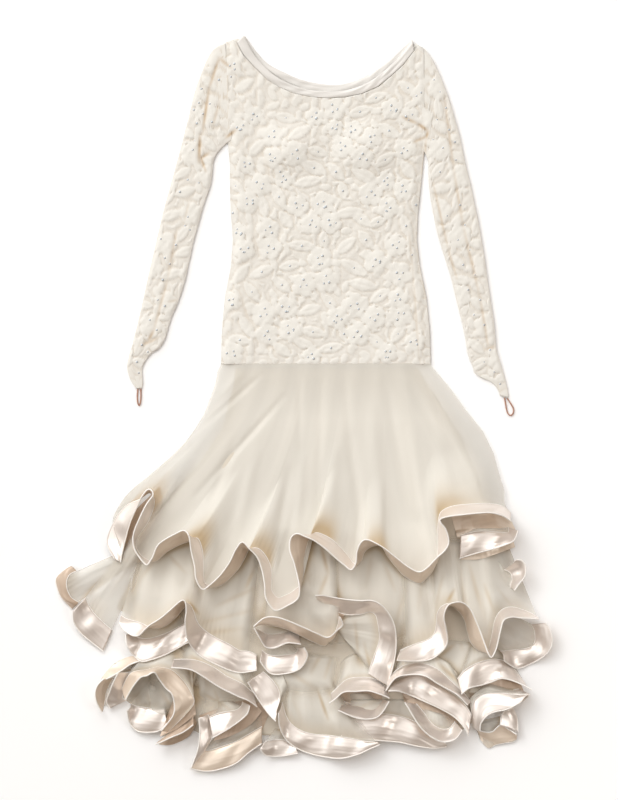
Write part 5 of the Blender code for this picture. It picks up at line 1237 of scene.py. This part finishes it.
def make_flounces(which, look):
    """Stretches of one flounce that show, from the bottom one up."""
    edges = []
    ground = WORK["ground"]
    for n, (name, shows, root, rows) in enumerate(STRETCHES):
        if not name.startswith(which):
            continue
        for k, strip in enumerate(STRIPS):
            if strip[0] == name:
                add_strip(*strip[1:], look, 2.3 * k, edges)
        root, lines, seam_up = charted(root, rows, ground)
        seed = 1.7 * n
        root = [(x, y - HIDDEN_REACH * (which == "second")) for x, y in root]
        grid, folds, ends, painted_shade = flounce_places(root, lines, seam_up, ground, seed)
        hem = np.linspace(0.0, 1.0, len(grid))[:, None]
        # Painted brown shade on the chiffon towards the seam of its band
        painted_shade = painted_shade + 0.4 * ease((hem - 0.75) / 0.25) * (1.0 - ends)
        nodes = [name + "_flounce"] if shows else []
        gathered_sheet(name + "_chiffon", grid, nodes, "chiffon", look.chiffon, folds, ends, painted_shade)
        band = add_band(name + "_satin", name + "_band", lines, seam_up, ground, look, seed, edges)
        if abs(lines[:, 5]).mean() < FLAT_STANCE:
            ground.cover(band)
        ground.cover(grid)
    add_hem_edges(which, edges, look)


def paint_hollow_shade():
    """Painted warm shade on the chiffon where higher cloth stands close by."""
    ground = WORK["ground"]
    around = widened(widened(ground.top, 4, np.mean), 4, np.mean)
    for mesh, grid, shade in WORK["laid"]:
        hollow = ease((ground.at(around, grid[..., 0], grid[..., 1]) - grid[..., 2] + 0.5) / 7.0)
        point_value(mesh, "shade", np.maximum(shade, 0.8 * hollow))


def bare(grid):
    """How far each place of a sheet has no hidden layers under it, so that the surface shines through."""
    return 1.0 - np.clip(heap_top(grid[..., 0], grid[..., 1]) / 9.0, 0.0, 1.0)


def side_pull(side, py):
    """Distance from the plain course of an edge column to the real side of the skirt."""
    table = np.asarray(side, float)
    upper, lower = table[0, 1], table[-1, 1]
    share = np.clip((py - upper) / (lower - upper), 0.0, 1.0)
    return np.interp(py, table[:, 1], table[:, 0]) - mix(table[0, 0], table[-1, 0], share ** SWEEP)


def make_upper_skirt(look):
    """Upper skirt layer from the waist to the first hem, and its satin band."""
    ground = WORK["ground"]
    count, rows = SKIRT_GRID
    lines = spaced(FIRST_HEM, count)
    seam_up = seam_height(lines, ground)
    depth = np.linspace(0.0, 1.0, rows + 1)[:, None]
    share = np.linspace(0.0, 1.0, count + 1)[None, :]
    left, right = BODICE_SIDES[-1][1:]
    px = mix(mix(left, right, share), lines[:, 2], depth ** SWEEP)
    py = mix(WAIST_PY - 1.5, lines[:, 3], depth)
    inner = np.minimum(1.0, np.minimum(share, 1.0 - share) * 21.5)
    fade = (1.0 - ease((depth - 0.7) / 0.3) * inner) * (1.0 - ease((depth - 0.83) / 0.17))
    px = px + fade * (1.0 - share) ** EDGE_PULL * side_pull(SKIRT_LEFT, py)
    px = px + fade * share ** EDGE_PULL * side_pull(SKIRT_RIGHT, py)
    high = ground.at(ground.smooth(14), px, py)
    near = ground.at(ground.smooth(6), px, py)
    up = mix(high, near, ease((depth - 0.8) / 0.2)) + SEAM_GAP + CHIFFON_WALL
    up = up + lines[:, 4] * ease((depth - 0.6) / 0.4)
    fold_height, pitch = SKIRT_FOLDS
    folds = fold_form(share * SKIRT_HEM_LENGTH, 0.8 * depth, 0.6, pitch)
    crease, _ = troughs(px, py, SKIRT_CREASES)
    edge = ease(np.minimum(share, 1.0 - share) / 0.02) * ease(depth / 0.1)
    up = up + (fold_height * folds * depth ** 0.9 + 1.5 * crease + 0.6) * edge
    up = mix(up, seam_up, ease((depth - 0.86) / 0.14))
    up = up + edge * gathers(share * SKIRT_HEM_LENGTH, (1.0 - depth) * SKIRT_DEPTH)
    grid = np.stack((px, py, up), -1)
    # Painted warm shade on the chiffon just above the crests of the hem waves
    crest = np.clip((softened(lines[:, 3], 34) - lines[:, 3]) / 11.0, 0.0, 1.0)
    shade = crest * np.exp(-((lines[:, 3] - py) / 17.0) ** 2) * ease(np.minimum(share, 1.0 - share) / 0.1)
    # The stored folds paint light and shade into the colour: lighter on fold crests, shifted along the
    # creases, and darker towards the first hem
    lower = 0.75 * ease((depth - 0.15) / 0.5)
    cloth_sheet("upper_skirt_chiffon", grid, ["skirt_upper"], "chiffon", [look.chiffon], 0.0,
                held="gathered", rests="under_layers", sheer=bare(grid), folds=folds - 0.3 * crease - lower,
                shade=shade)
    edges = []
    add_band("first_hem_satin", "first_band", lines, seam_up, ground, look, 0.4, edges)
    add_hem_edges("first", edges, look)
    ground.cover(grid)
    paint_hollow_shade()


class Value:
    """Socket of a material with the usual signs for sums."""

    def __init__(self, finish, socket):
        self.finish = finish
        self.socket = socket

    def maths(self, operation, *others):
        """Math node on this value and others."""
        return self.finish.node("ShaderNodeMath", {"operation": operation}, *others)

    def __add__(self, other):
        return self.maths("ADD", self, other)

    def __radd__(self, other):
        return self.maths("ADD", other, self)

    def __sub__(self, other):
        return self.maths("SUBTRACT", self, other)

    def __rsub__(self, other):
        return self.maths("SUBTRACT", other, self)

    def __mul__(self, other):
        return self.maths("MULTIPLY", self, other)

    def kept(self):
        """The same value kept between 0 and 1."""
        return self.finish.node("ShaderNodeClamp", {}, self, 0.0, 1.0)


class Finish:
    """Material built on its own Principled shader."""

    def __init__(self, name, **sockets):
        self.material = bpy.data.materials.new(name)
        self.material.use_nodes = True
        self.tree = self.material.node_tree
        self.shader = self.tree.nodes["Principled BSDF"]
        for socket, value in sockets.items():
            self.shader.inputs[socket.replace("_", " ")].default_value = value

    def node(self, kind, settings, *inputs, output=0):
        """Node of a kind with its settings and the values or links of its sockets, in their order."""
        made = self.tree.nodes.new(kind)
        for setting, value in settings.items():
            setattr(made, setting, value)
        sockets = [socket for socket in made.inputs if socket.enabled]
        for socket, value in zip(sockets, inputs):
            if isinstance(value, Value):
                self.tree.links.new(value.socket, socket)
            elif value is not None:
                socket.default_value = value
        outputs = [socket for socket in made.outputs if socket.enabled]
        return Value(self, outputs[output])

    def stored(self, name):
        """Number stored at the points of the mesh."""
        return self.node("ShaderNodeAttribute", {"attribute_name": name}, output=2)

    def noise(self, where, scale, detail=2.0):
        """Soft noise, 0 to 1."""
        return self.node("ShaderNodeTexNoise", {}, where, scale, detail)

    def spot(self, x, y):
        """Vector from two values."""
        return self.node("ShaderNodeCombineXYZ", {}, x, y)

    def blend(self, share, one, two):
        """Colour between two others."""
        return self.node("ShaderNodeMix", {"data_type": "RGBA"}, share, one, two)

    def join(self, socket, value):
        """Links a value to a socket of the shader."""
        self.tree.links.new(value.socket, self.shader.inputs[socket])

    def bumps(self, height, distance, strength):
        """Fine relief of the surface."""
        self.join("Normal", self.node("ShaderNodeBump", {}, strength, distance, 1.0, height))


def opaque(colour, share=1.0):
    """Colour with its fourth number."""
    return (colour[0] * share, colour[1] * share, colour[2] * share, 1.0)


class Look:
    """Materials of the dress."""

    def __init__(self):
        colours = bpy.context.scene.dress_colours
        self.raised = self.make_raised(colours)
        self.satin = self.make_satin("satin", colours.satin, 0.55, 0.36, 0.5)
        self.hem_edge_highlight = self.make_edge(colours.hem_edge_highlight)
        self.bright_satin = self.make_satin("bright_satin", colours.satin_edge, 0.3, 0.34, 0.25)
        self.binding = self.make_satin("neck_binding", colours.binding, 0.2, 0.46, 0.6)
        # Painted shade: a darker copy of the inner side of the satin for deep hollows
        self.cavity = self.make_satin("satin_in_a_hollow", colours.satin_hollow, 0.2, 0.4, 0.5)
        self.satin_inside = self.make_satin("satin_inside", colours.satin_inside, 0.25, 0.36, 0.5)
        self.chiffon = self.make_chiffon("chiffon", colours.chiffon, colours.shade, True)
        self.lining = self.make_chiffon("lining", colours.lining, colours.shade, False)
        self.crystal = self.make_crystal(colours)
        self.elastic = self.make_elastic(colours)

    def make_raised(self, colours):
        """Stretch cloth with puffed roses, with painted shade that darkens its ground and the grooves round
        its roses, and painted brown shade in deep creases.
        """
        finish = Finish("raised_cloth", Roughness=0.86, Sheen_Weight=0.25, Sheen_Roughness=0.5)
        pattern, crease = finish.stored("depth"), finish.stored("tone")
        where = finish.node("ShaderNodeTexCoord", {}, output=3)
        cloudy = finish.noise(where, 30.0)
        # Painted shade: the low ground between the puffs is darker than the puffs, and darker still in the
        # grooves round them
        puffed = (pattern * 1.2 + cloudy * 0.3).kept()
        ground = finish.blend(puffed, opaque(colours.raised_ground_shaded), opaque(colours.raised))
        ground = finish.blend((pattern * -0.9).kept(), ground, opaque(colours.raised_groove_shade))
        # Painted brown shade in the deep creases
        crease_shaded = finish.blend((crease * (0.55 + cloudy * 0.5)).kept(), ground, opaque(colours.crease))
        finish.join("Base Color", crease_shaded)
        knit = finish.noise(where, 900.0, 3.0) * 0.4 + finish.noise(where, 260.0, 2.0)
        finish.bumps(knit, 0.0008, 0.5)
        return finish.material

    def make_edge(self, colour):
        """Thin folded edge of a satin band, brighter than the satin as a painted highlight."""
        finish = Finish("hem_edge_highlight", Roughness=0.4, Sheen_Weight=0.2)
        cloudy = finish.noise(finish.node("ShaderNodeTexCoord", {}, output=3), 60.0)
        finish.join("Base Color", finish.blend(cloudy, opaque(colour, 0.94), opaque(colour)))
        return finish.material

    def make_satin(self, name, colour, gloss, roughness, strength):
        """Smooth satin with soft uneven creases."""
        finish = Finish(name, Sheen_Weight=0.1, Specular_IOR_Level=0.8, Metallic=gloss)
        across, along = finish.stored("across"), finish.stored("along")
        fine = finish.noise(finish.spot(across * 0.3, along * 2.2), 42.0, 1.0)
        broad = finish.noise(finish.spot(across, along * 0.6), 20.0, 0.0)
        finish.join("Roughness", roughness + (fine - 0.5) * 0.1)
        finish.join("Base Color", finish.blend(broad.kept(), opaque(colour, 0.9), opaque(colour, 1.05)))
        finish.bumps(fine * 0.9 + broad * 0.4, 0.004, strength)
        return finish.material

    def make_chiffon(self, name, colour, shaded, sheer):
        """Thin crinkled weave that lets light through where nothing lies under it."""
        finish = Finish(name, Roughness=0.82, Sheen_Weight=0.3, Sheen_Roughness=0.4)
        where = finish.node("ShaderNodeTexCoord", {}, output=3)
        cloudy = finish.noise(where, 14.0)
        # Painted light and shade of the folds: the chiffon is lighter on their crests and darker in their
        # troughs
        share = (finish.stored("folds") * 0.8 + cloudy * 0.4).kept()
        plain = finish.blend(share, opaque(colour, 0.905), opaque(colour, 1.02))
        # Painted warm shade from the creases, the hollows and the hem crests
        shade = finish.stored("shade") * (0.5 + cloudy)
        finish.join("Base Color", finish.blend(shade.kept(), plain, opaque(shaded)))
        finish.bumps(finish.noise(where, 1400.0, 2.0), 0.0004, 0.35)
        if sheer:
            finish.join("Alpha", (0.94 - finish.stored("sheer") * 0.4) * (1.0 - finish.stored("fade")))
        return finish.material

    def make_crystal(self, colours):
        """Foiled glass crystal."""
        finish = Finish("crystal", Base_Color=opaque(colours.crystal), Metallic=0.75, Roughness=0.07)
        return finish.material

    def make_elastic(self, colours):
        """Covered elastic with a fine wound surface."""
        finish = Finish("elastic", Base_Color=opaque(colours.elastic), Roughness=0.6, Sheen_Weight=0.2)
        where = finish.node("ShaderNodeTexCoord", {}, output=3)
        finish.bumps(finish.noise(where, 1500.0, 2.0), 0.0005, 0.5)
        return finish.material


def make_floor():
    """Pale surface under the dress."""
    mesh = bpy.data.meshes.new("floor")
    corners = ((-1.0, -1.0), (1.0, -1.0), (1.0, 1.0), (-1.0, 1.0))
    mesh.from_pydata([(x * FLOOR_HALF, y * FLOOR_HALF, -FLOOR_DROP) for x, y in corners], [], [(0, 1, 2, 3)])
    made = bpy.data.objects.new("floor", mesh)
    bpy.context.scene.collection.objects.link(made)
    colour = bpy.context.scene.dress_colours.floor
    finish = Finish("floor", Base_Color=opaque(colour), Roughness=0.9)
    mesh.materials.append(finish.material)


def add_softbox(name, at, size, power):
    """Square soft light that looks at the middle of the dress."""
    light = bpy.data.lights.new(name, "AREA")
    light.shape = "SQUARE"
    light.size = size
    light.energy = power
    made = bpy.data.objects.new(name, light)
    made.location = at
    made.rotation_euler = (-Vector(at)).to_track_quat("-Z", "Y").to_euler()
    bpy.context.scene.collection.objects.link(made)


def make_camera():
    """Camera straight above the dress."""
    camera = bpy.data.cameras.new("camera")
    camera.lens = CAMERA_LENS
    camera.clip_end = 100.0
    camera.sensor_width = CAMERA_SENSOR
    made = bpy.data.objects.new("camera", camera)
    x, y, _ = place(PICTURE_WIDTH / 2.0, PICTURE_HEIGHT / 2.0)
    made.location = (x, y, PICTURE_HEIGHT * PIXEL * CAMERA_LENS / CAMERA_SENSOR)
    bpy.context.scene.collection.objects.link(made)
    bpy.context.scene.camera = made


def make_surround(lights):
    """Soft light from all round, brighter from above and from the head end."""
    world = bpy.data.worlds.new("soft_light")
    world.use_nodes = True
    tree = world.node_tree
    background = tree.nodes["Background"]
    background.inputs["Strength"].default_value = lights.surround
    where = tree.nodes.new("ShaderNodeTexCoord")
    lean = tree.nodes.new("ShaderNodeVectorMath")
    lean.operation = "DOT_PRODUCT"
    lean.inputs[1].default_value = BRIGHT_SIDE
    ramp = tree.nodes.new("ShaderNodeValToRGB")
    steps = ramp.color_ramp.elements
    for at, _ in SKY[1:-1]:
        steps.new(at)
    for step, (at, colour) in zip(steps, SKY):
        step.position = at
        step.color = opaque(colour)
    tree.links.new(where.outputs["Generated"], lean.inputs[0])
    tree.links.new(lean.outputs["Value"], ramp.inputs["Fac"])
    tree.links.new(ramp.outputs["Color"], background.inputs["Color"])
    return world


def make_stage():
    """Floor, light and camera."""
    make_floor()
    lights = bpy.context.scene.dress_lights
    add_softbox("key_light", *KEY_LIGHT, lights.key_power)
    add_softbox("fill_light", *FILL_LIGHT, lights.fill_power)
    bpy.context.scene.world = make_surround(lights)
    bpy.context.scene.view_settings.view_transform = "Standard"
    make_camera()


# What one operator leaves for the next: the ground, the sheets that carry crystals, the sheets that get
# painted shade
WORK = {"laid": []}


def sizes():
    """Sizes that a user would change."""
    return bpy.context.scene.dress_sizes


def look():
    """Materials, made once."""
    if "look" not in WORK:
        WORK["look"] = Look()
    return WORK["look"]


def colour_property(name, description, default):
    """Colour for the sidebar."""
    return bpy.props.FloatVectorProperty(name=name, description=description, default=default, size=3,
                                         min=0.0, max=1.0, subtype="COLOR")


class DressSizes(bpy.types.PropertyGroup):
    """Sizes of the dress."""

    band_width: bpy.props.FloatProperty(
        name="Band width", description="Width of the satin bands of the hems", default=0.042, min=0.0,
        subtype="DISTANCE", unit="LENGTH")


class DressColours(bpy.types.PropertyGroup):
    """Colours of the dress and the surface under it."""

    raised: colour_property("Raised cloth", "Cloth of the bodice and sleeves", (0.80, 0.775, 0.717))
    # Painted shade on the low ground between the puffs
    raised_ground_shaded: colour_property("Ground of the raised cloth", "Between its roses", (0.775, 0.741, 0.68))
    # Painted shade in the grooves round the roses
    raised_groove_shade: colour_property("Lines of the raised cloth", "Round its roses", (0.64, 0.565, 0.46))
    # Painted brown shade in the deep creases of the raised cloth
    crease: colour_property("Crease", "Tint in the deep creases of the raised cloth", (0.50, 0.33, 0.16))
    satin: colour_property("Satin", "Outer side of the satin bands", (0.88, 0.80, 0.735))
    # Darker copy of the inner side that paints the shade deep in the folds
    satin_hollow: colour_property("Satin in a hollow", "Inner side deep in the folds", (0.60, 0.46, 0.345))
    satin_inside: colour_property("Satin inside", "Inner side of the satin bands", (0.83, 0.70, 0.57))
    # Brighter than the satin: painted highlight along the folded edges
    hem_edge_highlight: colour_property("Hem edge", "Thin edges of the bands", (0.97, 0.93, 0.88))
    satin_edge: colour_property("Satin edge", "Folded edges of the bands", (0.80, 0.755, 0.68))
    binding: colour_property("Binding", "Satin bindings of the neckline", (0.76, 0.73, 0.685))
    chiffon: colour_property("Chiffon", "Chiffon of the skirt", (0.81, 0.77, 0.69))
    # Painted warm shade of the chiffon
    shade: colour_property("Shade", "Chiffon over the hollows of the hem", (0.56, 0.43, 0.27))
    lining: colour_property("Lining", "Hidden layers under the skirt", (0.76, 0.69, 0.58))
    crystal: colour_property("Crystal", "Foiled crystals", (0.62, 0.66, 0.69))
    elastic: colour_property("Elastic", "Finger loops", (0.42, 0.22, 0.15))
    floor: colour_property("Floor", "Surface under the dress", (1.0, 1.0, 1.0))


class DressLights(bpy.types.PropertyGroup):
    """Studio light."""

    key_power: bpy.props.FloatProperty(name="Key", description="Main soft light", default=23.0, min=0.0,
                                       subtype="POWER", unit="POWER")
    fill_power: bpy.props.FloatProperty(name="Fill", description="Soft light from the other side",
                                        default=10.0, min=0.0, subtype="POWER", unit="POWER")
    surround: bpy.props.FloatProperty(name="Surround", description="Light from all round", default=1.0,
                                      min=0.0)


class DRESS_OT_bodice(bpy.types.Operator):
    """Front and back of the bodice in raised cloth."""

    bl_idname = "dress.bodice"
    bl_label = "Bodice"

    def execute(self, context):
        make_bodice(look())
        return {"FINISHED"}


class DRESS_OT_neck_bindings(bpy.types.Operator):
    """Satin bindings of the neckline."""

    bl_idname = "dress.neck_bindings"
    bl_label = "Neck bindings"

    def execute(self, context):
        make_neck_bands(look())
        return {"FINISHED"}


class DRESS_OT_sleeves(bpy.types.Operator):
    """Long sleeves with pointed hand covers."""

    bl_idname = "dress.sleeves"
    bl_label = "Sleeves"

    def execute(self, context):
        make_sleeves(look())
        return {"FINISHED"}


class DRESS_OT_finger_loops(bpy.types.Operator):
    """Elastic finger loops."""

    bl_idname = "dress.finger_loops"
    bl_label = "Finger loops"

    def execute(self, context):
        make_finger_loops(look())
        return {"FINISHED"}


class DRESS_OT_crystals(bpy.types.Operator):
    """Crystals of the bodice and sleeves."""

    bl_idname = "dress.crystals"
    bl_label = "Crystals"

    def execute(self, context):
        if not {"front", "left", "right"} <= set(WORK):
            raise RuntimeError("the bodice and sleeves have to be made before the crystals")
        make_crystals(look())
        return {"FINISHED"}


class DRESS_OT_under_layers(bpy.types.Operator):
    """Heap of hidden layers under the skirt."""

    bl_idname = "dress.under_layers"
    bl_label = "Under layers"

    def execute(self, context):
        make_under_layers(look())
        return {"FINISHED"}


class DRESS_OT_flounces(bpy.types.Operator):
    """Third and second flounce and the turned end of the first, with their satin bands."""

    bl_idname = "dress.flounces"
    bl_label = "Flounces"

    def execute(self, context):
        WORK["ground"] = Ground()
        for which in ("third", "second", "first"):
            make_flounces(which, look())
        return {"FINISHED"}


class DRESS_OT_upper_skirt(bpy.types.Operator):
    """Upper skirt layer with the first hem, laid over the flounces."""

    bl_idname = "dress.upper_skirt"
    bl_label = "Upper skirt"

    def execute(self, context):
        if "ground" not in WORK:
            raise RuntimeError("the flounces have to be laid before the upper skirt")
        make_upper_skirt(look())
        return {"FINISHED"}


class DRESS_OT_stage(bpy.types.Operator):
    """Floor, light and camera."""

    bl_idname = "dress.stage"
    bl_label = "Stage"

    def execute(self, context):
        make_stage()
        return {"FINISHED"}


OPERATORS = (DRESS_OT_under_layers, DRESS_OT_flounces, DRESS_OT_upper_skirt, DRESS_OT_bodice,
             DRESS_OT_neck_bindings, DRESS_OT_sleeves, DRESS_OT_finger_loops, DRESS_OT_crystals,
             DRESS_OT_stage)


class DRESS_PT_sidebar(bpy.types.Panel):
    """Sizes, colours and pieces of the dress."""

    bl_label = "Ballroom Dress"
    bl_idname = "DRESS_PT_sidebar"
    bl_space_type = "VIEW_3D"
    bl_region_type = "UI"
    bl_category = "Dress"

    def draw(self, context):
        for group in (context.scene.dress_sizes, context.scene.dress_colours, context.scene.dress_lights):
            for name in group.__annotations__:
                self.layout.prop(group, name)
        for operator in OPERATORS:
            self.layout.operator(operator.bl_idname)


CLASSES = (DressSizes, DressColours, DressLights, *OPERATORS, DRESS_PT_sidebar)


def register():
    """Makes the classes known to Blender."""
    for item in CLASSES:
        bpy.utils.register_class(item)
    bpy.types.Scene.dress_sizes = bpy.props.PointerProperty(type=DressSizes)
    bpy.types.Scene.dress_colours = bpy.props.PointerProperty(type=DressColours)
    bpy.types.Scene.dress_lights = bpy.props.PointerProperty(type=DressLights)


def unregister():
    """Removes the classes again."""
    del bpy.types.Scene.dress_lights
    del bpy.types.Scene.dress_colours
    del bpy.types.Scene.dress_sizes
    for item in reversed(CLASSES):
        bpy.utils.unregister_class(item)


def main():
    """Builds the dress and its stage."""
    register()
    for operator in OPERATORS:
        group, name = operator.bl_idname.split(".")
        getattr(getattr(bpy.ops, group), name)()


if __name__ == "__main__":
    main()
